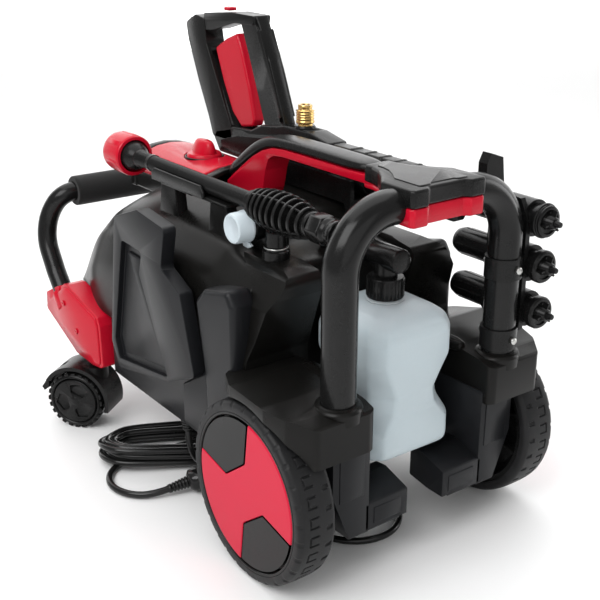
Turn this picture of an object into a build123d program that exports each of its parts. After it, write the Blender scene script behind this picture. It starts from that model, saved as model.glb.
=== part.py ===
from build123d import *
import math
import os

# Pressure washer on two rear wheels and two front casters.
# X is across the machine, Y runs forward from the rear axle, Z is up from the floor.
# Each part is moved back by axle_to_centre when it is written, so the origin of the
# finished object is on the floor under the middle of its box.

axle_to_centre = 215.0

# rear wheels
wheel_r = 95.0
wheel_face = 171.3
wheel_width = 43.0
wheel_inner = wheel_face - wheel_width
rim_r = 84.0
disc_r = 80.0
axle_r = 5.0
running_gap = 0.05
axle_z = wheel_r

# housings
tub_half = 140.0
tub_floor = 92.0
seam_z = 163.0
tub_rear = 52.0
tub_front = 484.0
wall = 3.5
leg_inner = 75.0
leg_outer = 120.0
leg_rear = -76.0
leg_bottom = 53.7
arch_r = 100.0

# rear hoop and T-handle
hoop_x = 105.4
hoop_y = -64.0
hoop_r = 17.0
hoop_top = 380.0
hoop_bend = 55.0
hoop_foot = 170.0
handle_half = 16.0
lobe_x = 46.0

# front handle
bar_r = 12.5
bar_x = 140.0
foam_r = 19.5
foam_half = 102.0
bar_cross = (505.0, 281.0)

# spray lance, parallel to Y
lance_x = -90.0
lance_z = 355.5
lance_r = 9.0

# bottle
bottle_y = -5.0
bottle_bottom = 108.5
neck_z = 266.0
cap_r = 19.0
elbow_z = 308.0

# water inlet
inlet_y = 105.0
inlet_z = 329.0
outlet_r = 11.0

# control head and knob
head_rear = 262.0
head_front = 440.0
knob_y = 338.0
knob_r = 20.0

# nozzle rack
rack_x = 141.5
nozzle_levels = (338.0, 290.0, 240.0)
nozzle_rear = -88.0
sleeve_r = 15.4

# gun, stored upside down in its holster
gun_x = 68.0
gun_half = 14.0

# casters
caster_pivot = (142.0, 392.0)
caster_turn = 38.0
caster_trail = 20.0
caster_r = 38.0
caster_stem_r = 6.0
caster_top = 84.0

# mains cord
cord_r = 4.0
gland_xy = (-120.0, 195.0)
gland_end = 66.5
hank_top = 31.0

os.makedirs("parts", exist_ok=True)


def write(node, *shapes):
    moved = [Pos(0, -axle_to_centre, 0) * shape for shape in shapes]
    solids = [solid for shape in moved for solid in shape.solids()]
    body = solids[0] if len(solids) == 1 else Compound(children=solids)
    export_step(body, "parts/" + node + ".step")


def cyl_x(r, x0, x1, y, z):
    return Pos((x0 + x1) / 2, y, z) * Rot(0, 90, 0) * Cylinder(r, abs(x1 - x0))


def cyl_y(r, y0, y1, x, z):
    return Pos(x, (y0 + y1) / 2, z) * Rot(90, 0, 0) * Cylinder(r, abs(y1 - y0))


def cyl_z(r, z0, z1, x, y):
    return Pos(x, y, (z0 + z1) / 2) * Cylinder(r, abs(z1 - z0))


def block(x0, x1, y0, y1, z0, z1):
    middle = Pos((x0 + x1) / 2, (y0 + y1) / 2, (z0 + z1) / 2)
    return middle * Box(abs(x1 - x0), abs(y1 - y0), abs(z1 - z0))


def outline(points, radius):
    if radius:
        return FilletPolyline(*points, radius=radius, close=True)
    return Polyline(*points, close=True)


def prism_x(points, x0, x1, radius=0):
    wire = outline([(x0, y, z) for y, z in points], radius)
    return extrude(make_face(wire), amount=x1 - x0, dir=(1, 0, 0))


def prism_y(points, y0, y1, radius=0):
    wire = outline([(x, y0, z) for x, z in points], radius)
    return extrude(make_face(wire), amount=y1 - y0, dir=(0, 1, 0))


def prism_z(points, z0, z1, radius=0):
    wire = outline([(x, y, z0) for x, y in points], radius)
    return extrude(make_face(wire), amount=z1 - z0, dir=(0, 0, 1))


def mirrored(shape):
    return mirror(shape, about=Plane.YZ)


def tube_along(line, r, inner=0):
    start = line @ 0
    section = Plane(origin=start, z_dir=line % 0) * Circle(r)
    if inner:
        section -= Plane(origin=start, z_dir=line % 0) * Circle(inner)
    return sweep(section, path=line)


def softened(shape, edges, size):
    try:
        return fillet(edges, size)
    except Exception:
        return shape


# Rear wheels: tyre, rim with a hub, and a coloured disc with two openings at the rim.

def tyre():
    ring = cyl_x(wheel_r, wheel_inner, wheel_face, 0, axle_z)
    ring = chamfer(ring.edges().filter_by(GeomType.CIRCLE), 5)
    ring -= cyl_x(rim_r, wheel_inner - 1, wheel_face + 1, 0, axle_z)
    tread = [(wheel_r - 3, -3.5), (wheel_r + 2, -4.5), (wheel_r + 2, 4.5), (wheel_r - 3, 3.5)]
    grooves = []
    for side, phase in ((0, 0), (1, 10)):
        x0 = wheel_inner - 1 if side == 0 else wheel_face - 14
        for step in range(18):
            cut = prism_x([(r, t) for r, t in tread], x0, x0 + 15)
            grooves.append(Pos(0, 0, axle_z) * Rot(step * 20 + phase, 0, 0) * cut)
    return ring - grooves


def rim():
    ring = cyl_x(rim_r, wheel_inner + 3, wheel_face - 2, 0, axle_z)
    ring -= cyl_x(disc_r + 1, 152, wheel_face, 0, axle_z)
    ring -= cyl_x(disc_r, wheel_inner, 146, 0, axle_z)
    hub = cyl_x(15, wheel_inner - 3, 152, 0, axle_z)
    return ring + hub - cyl_x(axle_r + running_gap, wheel_inner - 4, 160, 0, axle_z)


def wheel_disc():
    face = cyl_x(disc_r, 157, 170.5, 0, axle_z)
    corners = [(-10, 90), (-2, 34), (32, 8), (85, 19), (85, 90)]
    for turn in (0, 180):
        face -= Pos(0, 0, axle_z) * Rot(turn, 0, 0) * prism_x(corners, 150, 175)
    return face + cyl_x(disc_r - 2, 153, 157, 0, axle_z)


def wheel_clip():
    ring = cyl_x(9, wheel_inner - 7, wheel_inner - 4, 0, axle_z)
    return ring - cyl_x(axle_r, wheel_inner - 8, wheel_inner - 3, 0, axle_z)


for side, turn in (("right", False), ("left", True)):
    place = mirrored if turn else (lambda shape: shape)
    write("tyre_" + side, place(tyre()))
    write("rim_" + side, place(rim()))
    write("wheel_disc_" + side, place(wheel_disc()))

write("rear_axle", cyl_x(axle_r, -151, 151, 0, axle_z))
write("axle_clips", wheel_clip(), mirrored(wheel_clip()))


# Lower housing: a tub with raised side panels, wheel legs and two cord hooks at the rear.

def tub_profile(inset=0.0):
    return [(tub_rear + inset, 104 + inset), (66 + inset, tub_floor + inset),
            (372, tub_floor + inset), (430 - inset, 104 + inset), (tub_front - inset, 134 + inset),
            (tub_front - inset, seam_z), (tub_rear + inset, seam_z)]


def leg():
    side_view = [(leg_rear, leg_bottom), (-30, leg_bottom), (20, 76), (44, 96),
                 (44, seam_z), (leg_rear, seam_z)]
    post = prism_x(side_view, leg_inner, leg_outer)
    slope = [(leg_inner - 1, leg_bottom - 1), (97, leg_bottom - 1), (leg_outer + 1, 110),
             (leg_outer + 1, seam_z + 1), (leg_inner - 1, seam_z + 1)]
    post = post & prism_y(slope, leg_rear - 1, 60)
    hook = prism_x([(leg_rear, leg_bottom), (-24, leg_bottom + 8), (-24, 98), (-44, 98),
                    (leg_rear, 88)], 24.4, leg_inner)
    boss = cyl_x(17, 92, wheel_inner - 7.3, 0, axle_z)
    return post + hook + boss - cyl_x(axle_r + running_gap, 60, 130, 0, axle_z)


def side_panel():
    corners = [(48, 100), (50, 276), (60, 284), (112, 270), (128, 255), (112, 170), (108, 100)]
    panel = prism_x(corners, 118, 148)
    return chamfer(panel.faces().sort_by(Axis.X)[-1].edges(), 4)


def lower_housing():
    tub = prism_x(tub_profile(), -tub_half, tub_half)
    corner = tub.edges().filter_by(Axis.X).group_by(Axis.Z)[0]
    tub = softened(tub, corner, 10)
    half_plan = [(tub_half, tub_rear - 1), (tub_half, 338), (122, 354), (122, 450), (108, tub_front + 1)]
    plan = half_plan + [(-x, y) for x, y in reversed(half_plan)]
    tub = tub & prism_z(plan, 0, 300)
    hollow = prism_x(tub_profile(wall), -tub_half + wall, tub_half - wall)
    half_inner = [(122, 0), (122, 90), (tub_half - 5, 104), (tub_half - 5, 334), (118, 350), (118, 446),
                  (104, tub_front - 5)]
    inner_plan = half_inner + [(-x, y) for x, y in reversed(half_inner)]
    tub -= hollow & prism_z(inner_plan, 0, 300)
    shelf = block(-leg_inner, leg_inner, -24, tub_rear + 3, 101, bottle_bottom - 0.3)
    whole = tub + shelf + leg() + mirrored(leg())
    whole += side_panel() + mirrored(side_panel())
    whole -= block(-122, 122, 60, 334, tub_floor + wall, 260)
    for side in (-1, 1):
        whole -= cyl_x(arch_r, side * (wheel_inner - 4), side * 190, 0, axle_z)
    return whole - cyl_z(8, tub_floor - 2, tub_floor + 6, *gland_xy)


lower = lower_housing()
write("lower_housing", lower)


# Upper housing: motor cover rising to a rounded top, with the two wheel covers.

def dome_section(inset=0.0):
    half = tub_half - inset
    return [(-half, seam_z), (-half, 236), (-126 + inset, 282 - inset), (-100 + inset, 305 - inset),
            (-60, 324 - inset), (0, 331 - inset), (60, 324 - inset), (100 - inset, 305 - inset),
            (126 - inset, 282 - inset), (half, 236), (half, seam_z)]


def dome_side(inset=0.0):
    return [(tub_rear + inset, seam_z), (tub_rear + inset, 288 - inset), (66 + inset, 297 - inset),
            (112 + inset, 299 - inset), (126 + inset, 331 - inset), (330, 331 - inset),
            (392 - inset, 306 - inset), (436 - inset, 252 - inset), (tub_front - inset, 176),
            (tub_front - inset, seam_z)]


def dome_plan(inset=0.0):
    half = tub_half - inset
    return [(-half, tub_rear + inset), (half, tub_rear + inset), (half, 380), (118 - inset, 446),
            (108 - inset, tub_front + 1 - inset), (-108 + inset, tub_front + 1 - inset),
            (-118 + inset, 446), (-half, 380)]


def dome(inset=0.0, radius=5):
    body = prism_y(dome_section(inset), 0, 600)
    body = body & prism_x(dome_side(inset), -200, 200, radius)
    return body & prism_z(dome_plan(inset), 0, 400)


def wheel_cover():
    plan = [(leg_inner, tub_rear + 20), (leg_inner, -84), (148, -84), (wheel_face, -48),
            (wheel_face, 24), (130, 58), (130, tub_rear + 20)]
    cover = prism_z(plan, seam_z - 12, 216)
    cover = cover & prism_x([(-84, 151), (-84, 192), (-72, 199), (22, 213), (90, 213), (90, 151)],
                            60, 180)
    cover -= cyl_x(arch_r, 122, 180, 0, axle_z)
    cover -= block(leg_inner - 5, leg_outer + 2, leg_rear, 100, 140, seam_z)
    return cover


def upper_housing():
    shell = dome() - dome(wall, 0)
    for panel in (side_panel(), mirrored(side_panel())):
        shell -= panel
    covers = wheel_cover() - dome()
    shell += covers + mirrored(covers)
    for x in (-hoop_x, hoop_x):
        shell -= cyl_z(hoop_r, hoop_foot, 260, x, hoop_y)
    shell -= cyl_y(17, 46, 82, 0, elbow_z) + block(-22.3, 22.3, knob_y - 22.3, knob_y + 22.3, 285, 340)
    return shell - lower


upper = upper_housing()
dome_block = dome()


# Side covers: long faceted shells on the flanks, with a sunk panel.

def side_cover():
    corners = [(279, 309), (225, 329), (165, 322), (176, 276), (138, 259), (114, 172), (170, 147),
               (291, 120), (306, 150)]
    base = prism_x(corners, tub_half + 0.2, tub_half + 6)
    lift = Plane(origin=(tub_half + 6, 0, 0), x_dir=(0, 1, 0), z_dir=(1, 0, 0))
    smaller = [(275, 300), (225, 318), (176, 311), (187, 270), (150, 252), (128, 178), (174, 157),
               (284, 132), (296, 156)]
    raised = prism_x(corners, tub_half, tub_half + 16) & prism_x(smaller, tub_half, tub_half + 16)
    sunk = prism_x([(268, 282), (236, 292), (206, 276), (190, 172), (274, 152)], tub_half + 8,
                   tub_half + 20)
    return base + raised - sunk - block(tub_half - 20, tub_half + 40, 100, 130, 90, 260)


write("side_cover_right", side_cover() - dome_block)
write("side_cover_left", mirrored(side_cover() - dome_block))


# Front brackets and front handle.

def bracket():
    corners = [(514, 125), (447, 178), (354, 161), (348, 96), (380, 88), (420, 88)]
    plate = prism_x(corners, 124, 153)
    plate = chamfer(plate.faces().sort_by(Axis.X)[-1].edges(), 5)
    sleeve = [(440, 160), (500, 186), (516, 176), (520, 140), (470, 110)]
    plate += prism_x(sleeve, 126, 153)
    boss = cyl_z(12.5, 88, 128, *caster_pivot)
    plate += boss
    plate -= cyl_z(caster_stem_r + running_gap, 80, 116, *caster_pivot)
    return plate - front_bar() - dome_block - lower


def front_bar_line():
    points = [(-bar_x, 462, 140), (-bar_x, 496, 180), (-bar_x, 531, 236), (-118, *bar_cross),
              (118, *bar_cross), (bar_x, 531, 236), (bar_x, 496, 180), (bar_x, 462, 140)]
    return FilletPolyline(*points, radius=[60, 60, 26, 26, 60, 60])


def front_bar():
    return tube_along(front_bar_line(), bar_r)


front_tube = front_bar()
right_bracket = bracket()
write("front_handle_tube", tube_along(front_bar_line(), bar_r, bar_r - 2))
write("front_bracket_right", right_bracket)
write("front_bracket_left", mirrored(right_bracket))
sleeve_ring = Pos(0, *bar_cross) * Rot(0, 90, 0) * (Cylinder(foam_r, 2 * foam_half)
                                                    - Cylinder(bar_r, 3 * foam_half))
write("foam_sleeve", sleeve_ring)


# Casters: a hood on a swivel stem, a pair of small wheels on a pin, and a brake pedal.

def caster_place():
    return Pos(-caster_pivot[0], caster_pivot[1], 0) * Rot(0, 0, caster_turn)


def caster_hood():
    arc = cyl_x(caster_r + 8.5, -22, 22, caster_trail, caster_r)
    arc -= cyl_x(caster_r + 3.5, -23, -5, caster_trail, caster_r)
    arc -= cyl_x(caster_r + 3.5, 5, 23, caster_trail, caster_r)
    arc -= block(-23, 23, -60, 90, -20, 26)
    arc -= block(-23, 23, caster_trail + 22, 90, -20, 62)
    arc += cyl_z(17, 66, caster_top, 0, 0) - cyl_x(caster_r + 3.5, -23, -5, caster_trail, caster_r) \
        - cyl_x(caster_r + 3.5, 5, 23, caster_trail, caster_r)
    arc += cyl_z(caster_stem_r, 60, 114, 0, 0)
    arc -= cyl_x(3.05, -30, 30, caster_trail, caster_r)
    pedal_room = block(-6, 6, caster_trail + 19, caster_trail + 60, 48, 90)
    return arc - pedal_room


def caster_wheels():
    wheel = cyl_x(caster_r, 6, 24, caster_trail, caster_r)
    wheel = chamfer(wheel.edges().filter_by(GeomType.CIRCLE), 2)
    wheel -= cyl_x(24, 21, 26, caster_trail, caster_r) - cyl_x(9, 20, 27, caster_trail, caster_r)
    wheel -= cyl_x(3, 0, 30, caster_trail, caster_r)
    pin = cyl_x(3, -24, 24, caster_trail, caster_r)
    return [wheel, mirrored(wheel), pin]


def caster_pedal():
    arm = prism_x([(40, 58), (52, 50), (60, 50), (62, 58), (52, 66), (41, 70)], -4.5, 4.5)
    return arm + prism_x([(61, 48), (68, 43), (71, 48), (64, 58), (61, 58)], -13, 13)


hood = caster_place() * caster_hood()
pedal = caster_place() * caster_pedal()
wheel_set = [caster_place() * piece for piece in caster_wheels()]
write("caster_hood_left", hood)
write("caster_hood_right", mirrored(hood))
write("caster_pedal_left", pedal)
write("caster_pedal_right", mirrored(pedal))
write("caster_wheels_left", *wheel_set)
write("caster_wheels_right", *[mirrored(piece) for piece in wheel_set])


# Rear hoop: two bent tubes that meet inside the T-handle.

def hoop_line():
    return FilletPolyline((hoop_x, hoop_y, hoop_foot), (hoop_x, hoop_y, hoop_top),
                          (24, hoop_y, hoop_top), radius=hoop_bend)


hoop_right = tube_along(hoop_line(), hoop_r, hoop_r - 2)
hoop_solid = tube_along(hoop_line(), hoop_r)
write("hoop_tube_right", hoop_right)
write("hoop_tube_left", mirrored(hoop_right))


def handle_plan(z0, z1):
    half = [(handle_half, 180), (handle_half, 2), (24, -22), (lobe_x, -48), (lobe_x, -90.5),
            (27, -90.5), (20, -76)]
    points = half + [(-x, y) for x, y in reversed(half)]
    return prism_z(points, z0, z1)


def handle_bar(top, bottom):
    points = [(top[0], top[1]), (165, top[1]), (198, top[1] - 7), (282, top[2]), (260, bottom[2]),
              (188, bottom[1] - 3), (165, bottom[1]), (top[0], bottom[1])]
    return prism_x(points, -handle_half, handle_half)


def handle_top_shell():
    head = handle_plan(382, 399)
    head = chamfer(head.faces().sort_by(Axis.Z)[-1].edges(), 3)
    head = head & block(-60, 60, -95, 20, 370, 400)
    bar = handle_bar((10, 400, 338), (0, 388, 334))
    bar = softened(bar, bar.faces().sort_by(Axis.Z)[-1].edges(), 5)
    return head + bar - hoop_solid - mirrored(hoop_solid)


def handle_under_shell():
    head = handle_plan(364, 382) & block(-60, 60, -95, 20, 360, 382)
    head -= block(-30, 30, -62, 30, 350, 376)
    bar = prism_x([(10, 388), (165, 388), (188, 385), (260, 334), (245, 326), (180, 374), (160, 380),
                   (10, 380)], -handle_half, handle_half)
    whole = head + bar - hoop_solid - mirrored(hoop_solid)
    return whole - handle_top


handle_top = handle_top_shell()
write("handle_top_shell", handle_top)


# Control head with its red cover and the switch knob.

head_arch = [(-48, 300), (-48, 326), (-36, 340), (0, 346), (36, 340), (48, 326), (48, 300)]


def control_head():
    body = prism_y(head_arch, head_rear, head_front)
    body -= prism_y([(x * 0.93, z - 4) for x, z in head_arch], head_rear + 10, head_front - 12)
    body -= block(-60, 60, head_rear + 14, head_front - 16, 334, 350)
    return body - dome_block - cyl_z(11, 300, 360, 0, knob_y)


def switch_cover():
    body = prism_y(head_arch, head_rear + 14.3, head_front - 16.3) & block(-60, 60, 200, 460, 334.3, 360)
    body = softened(body, body.edges().filter_by(Axis.Y).group_by(Axis.Z)[-1], 3)
    body -= cyl_z(knob_r + 2, 343, 360, 0, knob_y)
    return body - cyl_z(6.05, 300, 360, 0, knob_y)


def switch_knob():
    skirt = cyl_z(knob_r, 343.3, 348, 0, knob_y)
    grip = block(-6, 6, knob_y - 18, knob_y + 18, 348, 364)
    grip = softened(grip, grip.edges().filter_by(Axis.Z), 4)
    return skirt + grip + cyl_z(6, 322, 347, 0, knob_y)


handle_under = handle_under_shell() - dome_block
write("handle_under_shell", handle_under)
write("control_head", control_head() - handle_top - handle_under)
write("switch_cover", switch_cover() - handle_top - handle_under)
write("switch_knob", switch_knob())
switch_box = block(-22, 22, knob_y - 22, knob_y + 22, 298, 321.7)
write("switch_box", switch_box)


# Detergent bottle, cap, elbow and suction tube.

def bottle():
    half = 54
    stages = [(bottle_bottom, 44, 46), (bottle_bottom + 8, 53, 54), (140, half, 54), (160, 43, 50),
              (186, 43, 50), (222, half, 54), (246, half, 54), (262, 40, 42), (neck_z, 19, 19)]
    sections = []
    for z, hx, hy in stages:
        corner = min(hx, hy) * 0.36
        sections.append(Pos(0, bottle_y, z) * RectangleRounded(2 * hx, 2 * hy, corner))
    body = loft(sections, ruled=True)
    body += cyl_z(15, neck_z - 1, neck_z + 16, 0, bottle_y)
    return body - cyl_z(6, bottle_bottom + 20, neck_z + 20, 0, bottle_y)


write("detergent_bottle", bottle())
cap = cyl_z(cap_r, neck_z + 0.3, neck_z + 22, 0, bottle_y) - cyl_z(15.2, 200, neck_z + 16.2, 0, bottle_y)
cap -= cyl_z(8, 250, 320, 0, bottle_y)
write("bottle_cap", cap)
elbow = cyl_z(7.8, neck_z + 16.5, elbow_z, 0, bottle_y) + cyl_y(12.5, bottle_y - 24, 44, 0, elbow_z)
elbow += cyl_z(12, neck_z + 22.3, elbow_z, 0, bottle_y)
elbow -= cyl_z(3.05, 200, elbow_z - 4, 0, bottle_y)
write("bottle_elbow", elbow, cyl_z(3, bottle_bottom + 24, elbow_z - 4, 0, bottle_y))
elbow_socket = cyl_y(17, 46, 82, 0, elbow_z) - cyl_y(13, 40, 72, 0, elbow_z)
write("upper_housing", upper, elbow_socket)


# Water inlet with its dust cap, and the high-pressure outlet.

inlet = cyl_x(13, -92, -60, inlet_y, inlet_z) + cyl_x(10.5, -104, -92, inlet_y, inlet_z) - cyl_x(6.5, -105, -62, inlet_y, inlet_z)
inlet += cyl_z(11, 296, inlet_z, -60, inlet_y)
write("inlet_fitting", inlet - cyl_x(6.5, -105, -62, inlet_y, inlet_z) - dome_block)
dust_cap = cyl_x(16.4, -112, -97, inlet_y, inlet_z) + cyl_x(16.9, -97, -92.5, inlet_y, inlet_z)
dust_cap += block(-97, -92.5, inlet_y - 12, inlet_y + 2, inlet_z - 21, inlet_z - 12)
write("inlet_cap", dust_cap - cyl_x(10.9, -104.2, -92, inlet_y, inlet_z))
outlet = cyl_z(14, 297.5, 309, -78, 74) + cyl_z(outlet_r, 309, 329, -78, 74)
write("outlet_fitting", (outlet - cyl_z(6, 304, 330, -78, 74)) - dome_block)


# Nozzle rack on the right tube, its two clamps, three nozzles and the hose hook.

def nozzle_rack():
    plate = prism_x([(-74, 222), (-56, 205), (-30, 214), (-22, 250), (-22, 350), (-40, 362), (-64, 360),
                     (-74, 340)], 124.3, 130.3)
    for z in nozzle_levels:
        plate += cyl_y(sleeve_r + 4, -70, -20, rack_x, z)
    for z in nozzle_levels:
        plate -= cyl_y(sleeve_r, -80, 40, rack_x, z)
    plate -= cyl_z(hoop_r + 0.3, 190, 400, hoop_x, hoop_y)
    return plate


def rack_clamps():
    rings = []
    for z in (217, 293):
        ring = cyl_z(hoop_r + 2.2, z - 11, z + 11, hoop_x, hoop_y)
        rings.append(ring - cyl_z(hoop_r, z - 20, z + 20, hoop_x, hoop_y))
    return rings


def nozzle(z, ribbed):
    x = rack_x
    body = cyl_y(sleeve_r - 0.4, nozzle_rear, 36, x, z)
    body += cyl_y(sleeve_r + 2, nozzle_rear, nozzle_rear + 8, x, z)
    if ribbed:
        for step in range(3):
            body += cyl_y(sleeve_r + 3 - step, nozzle_rear + step * 4, nozzle_rear + 2 + step * 4, x, z)
    stem = cyl_y(6, nozzle_rear - 10, nozzle_rear, x, z) + cyl_y(4, nozzle_rear - 15, nozzle_rear - 10, x, z)
    return body + stem - cyl_y(1.2, nozzle_rear - 16, 37, x, z)


clamps = rack_clamps()
write("nozzle_rack", nozzle_rack() - clamps[0] - clamps[1], *clamps)
for index, z in enumerate(nozzle_levels):
    write("nozzle_" + str(index + 1), nozzle(z, index == 0))
hook = prism_y([(92, 345), (92, 396), (97, 406), (114, 400), (118, 372), (118, 345)], -46, -34)
write("hose_hook", hook - hoop_solid)


# Spray lance in its two clips: tube, red collar, ribbed grip and coupling.

lance_tube = cyl_y(lance_r, -40, 384, lance_x, lance_z) - cyl_y(3, -41, 385, lance_x, lance_z)
write("lance_tube", lance_tube)
collar = cyl_y(24, 347, 388, lance_x, lance_z)
collar = softened(collar, collar.edges().filter_by(GeomType.CIRCLE), 5)
collar -= cyl_y(lance_r + 0.05, 340, 384.3, lance_x, lance_z)
collar -= cyl_y(19, 340, 356, lance_x, lance_z)
collar -= cyl_y(3, 340, 400, lance_x, lance_z)
write("lance_collar", collar)
cage = cyl_y(lance_r + 3, -8, 92, lance_x, lance_z)
for ring in range(9):
    bulge = 21.5 - 0.35 * (ring - 4.5) ** 2
    cage += cyl_y(bulge, 2 + ring * 10, 6 + ring * 10, lance_x, lance_z)
grip_sleeve = cage - cyl_y(lance_r, -20, 100, lance_x, lance_z)
nut = Pos(lance_x, -17, lance_z) * Rot(90, 0, 0) * extrude(RegularPolygon(15, 6), amount=9, both=True)
nut -= cyl_y(lance_r, -40, 20, lance_x, lance_z)
nut += cyl_y(13, -42, -26, lance_x, lance_z) - cyl_y(lance_r, -50, 0, lance_x, lance_z)
write("lance_grip", grip_sleeve, nut - grip_sleeve)


def lance_clip(y):
    web = block(lance_x - 4, lance_x + 6, y - 14, y + 14, 300, lance_z - lance_r - 2)
    cup = cyl_y(lance_r + 4, y - 14, y + 14, lance_x, lance_z)
    cup -= block(lance_x - 20, lance_x + 20, y - 20, y + 20, lance_z, lance_z + 30)
    return web + cup - cyl_y(lance_r + 0.4, y - 20, y + 20, lance_x, lance_z) - dome_block


write("lance_clips", lance_clip(150), lance_clip(262))


# Trigger gun upside down in its holster: body, trigger, lock, inlet and barrel cover.

trigger_pivot = (333.0, 372.0)
trigger_pull = 8.0
trigger_room = [(411, 470), (350, 494), (338, 482), (310, 386), (315, 364), (366, 364)]


def gun_body():
    x0, x1 = gun_x - gun_half, gun_x + gun_half
    outer = [(464, 494), (421, 506), (356, 512), (308, 511), (282, 462), (252, 391), (196, 391),
             (160, 384), (160, 338), (351, 331), (391, 334), (414, 376), (436, 419), (458, 468)]
    body = prism_x(outer, x0, x1)
    inner = [(409, 469), (345, 497), (325, 457), (294, 384), (318, 372), (366, 372)]
    body -= prism_x(inner, x0 - 1, x1 + 1, 5)
    for pull in (0, 4, trigger_pull):
        room = Pos(0, *trigger_pivot) * Rot(-pull, 0, 0) * Pos(0, -trigger_pivot[0], -trigger_pivot[1])
        body -= room * prism_x(trigger_room, gun_x - 9, gun_x + 9)
    side = body.faces().filter_by(Axis.X).sort_by(Axis.X)
    body = softened(body, side[-1].edges() + side[0].edges(), 2.5)
    body -= cyl_z(8, 378, 400, gun_x, 222)
    return body - cyl_y(9, 150, 200, gun_x, 361)


def gun_trigger():
    blade = [(404, 466), (352, 488), (346, 480), (316, 385), (322, 376), (358, 376)]
    bow = prism_x(blade, gun_x - 8.6, gun_x + 8.6)
    return bow & prism_x([(404, 470), (356, 496), (340, 470), (312, 380), (372, 358)], 0, 100)


def gun_inlet():
    body = cyl_z(7.9, 380, 396, gun_x, 222) + cyl_z(11, 396, 411, gun_x, 222)
    body += cyl_z(8.5, 411, 418, gun_x, 222)
    return body - cyl_z(5, 384, 420, gun_x, 222)


write("gun_body", gun_body())
write("gun_trigger", gun_trigger())
write("gun_inlet", gun_inlet())
lock = block(gun_x - 6, gun_x + 6, 372, 384, 510.9, 516)
write("trigger_lock", lock)
barrel = prism_y([(gun_x - 13, 346), (gun_x - 13, 376), (gun_x - 7, 384), (gun_x + 7, 384),
                  (gun_x + 13, 376), (gun_x + 13, 346), (gun_x + 7, 339), (gun_x - 7, 339)], -36, 159.7)
inner_barrel = cyl_y(9, -44, 196, gun_x, 361) - cyl_y(3, -50, 200, gun_x, 361)
write("gun_barrel_cover", barrel - cyl_y(9, -40, 200, gun_x, 361), inner_barrel)


def holster():
    u_shape = [(gun_x - 20, 300), (gun_x - 20, 352), (gun_x - 14.5, 352), (gun_x - 14.5, 330),
               (gun_x + 14.5, 330), (gun_x + 14.5, 352), (gun_x + 20, 352), (gun_x + 20, 300)]
    cradle = prism_y(u_shape, 112, 300)
    cradle -= block(gun_x - 12, gun_x + 12, 150, 262, 290, 340)
    return cradle - dome_block


write("gun_holster", holster())


# Drive train inside the housing.

motor_y = (200.0, 330.0)
motor_z = 235.0
stator = cyl_y(62, *motor_y, 0, motor_z) - cyl_y(32, motor_y[0] - 1, motor_y[1] + 1, 0, motor_z)
end_bell = cyl_y(62, motor_y[1], motor_y[1] + 12, 0, motor_z)
end_bell -= cyl_y(6 + running_gap, motor_y[1] - 1, motor_y[1] + 14, 0, motor_z)
rotor = cyl_y(31, 215, 318, 0, motor_z) + cyl_y(6, 180, 352, 0, motor_z)
for blade in range(8):
    wing = Pos(0, 0, motor_z) * Rot(0, blade * 45, 0) * block(-1.5, 1.5, 352, 368, 8, 46)
    rotor += wing
rotor += cyl_y(12, 350, 370, 0, motor_z)
write("motor_rotor", rotor)
pump = cyl_y(40, 112, 199.7, 0, motor_z) - cyl_y(6 + running_gap, 170, 200, 0, motor_z)
pump += block(-34, 34, 90, 130, 200, 270)
pump += cyl_z(9, 240, 292, -60, 100) + block(-66, -30, 94, 106, 225, 245)
write("pump", pump)
cradle = block(-50, 50, 215, 315, tub_floor + wall, 200) - cyl_y(62, 200, 342, 0, motor_z)
write("motor_casing", stator + end_bell, cradle)


def screw(x, y, z, dx):
    head = cyl_x(3.6, x, x + 2.0 * dx, y, z)
    return head - block(x + dx, x + 3 * dx, y - 2.6, y + 2.6, z - 0.6, z + 0.6)


spots = ((448, 152), (414, 124))
write("bracket_screws", *[screw(sign * 153.0, y, z, sign) for sign in (-1, 1) for y, z in spots])


# Mains cord: gland, free tube, hank on the floor, tube to the plug, plug.

def cord_tube(points, label):
    radii = []
    for before, here, after in zip(points, points[1:], points[2:]):
        a = Vector(*here) - Vector(*before)
        b = Vector(*after) - Vector(*here)
        turn = a.get_angle(b)
        radii.append(0.45 * min(a.length, b.length) / math.tan(math.radians(turn / 2)))
    line = FilletPolyline(*points, radius=radii)
    body = tube_along(line, cord_r)
    expected = math.pi * cord_r ** 2 * line.length
    print(label, "length", round(line.length), "radii", [round(r) for r in radii],
          "volume ratio", round(body.volume / expected, 3))
    return body


gland = Pos(gland_xy[0], gland_xy[1], 0) * (
    Pos(0, 0, 93) * Cylinder(8, 10) + Pos(0, 0, 90.5) * Cylinder(11, 2.6)
    + Pos(0, 0, (gland_end + 90) / 2) * Cone(5, 7.5, 90 - gland_end))
write("cord_gland", gland)

# The lead drops to the floor, makes one wide loop behind the legs and joins the hank.
lead = [(-120, 195, gland_end), (-120, 195, 40.8), (-107, 192, 18.3), (-84, 184, 4.3),
        (-60, 146, 4.3), (-57, 97, 4.3), (-70, 52, 4.3), (-72, 6, 4.3), (-46, -29, 4.3),
        (-4, -36, 4.3), (31, -9, 4.3), (42, 38, 4.3), (38, 88, 4.3), (46, 136, 4.3), (46, 160, 4.3)]
write("cord_lead", cord_tube(lead, "lead"))

hank_centre = (-66.0, 238.0)
hank_turn = -28.9
hank_length = 270.0
hank_width = 76.0
hank = Pos(*hank_centre, 0.3) * Rot(0, 0, hank_turn) * extrude(SlotOverall(hank_length, hank_width),
                                                               amount=hank_top)
write("cord_hank", chamfer(hank.faces().sort_by(Axis.Z)[-1].edges(), 6))

tail = [(-149, 272, 4.3), (-176, 270, 4.3), (-198, 253, 4.3), (-206, 227, 4.3), (-198, 201, 4.5),
        (-178.4, 183, 5.5), (-159, 178, 9)]
write("cord_tail", cord_tube(tail, "tail"))


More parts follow.
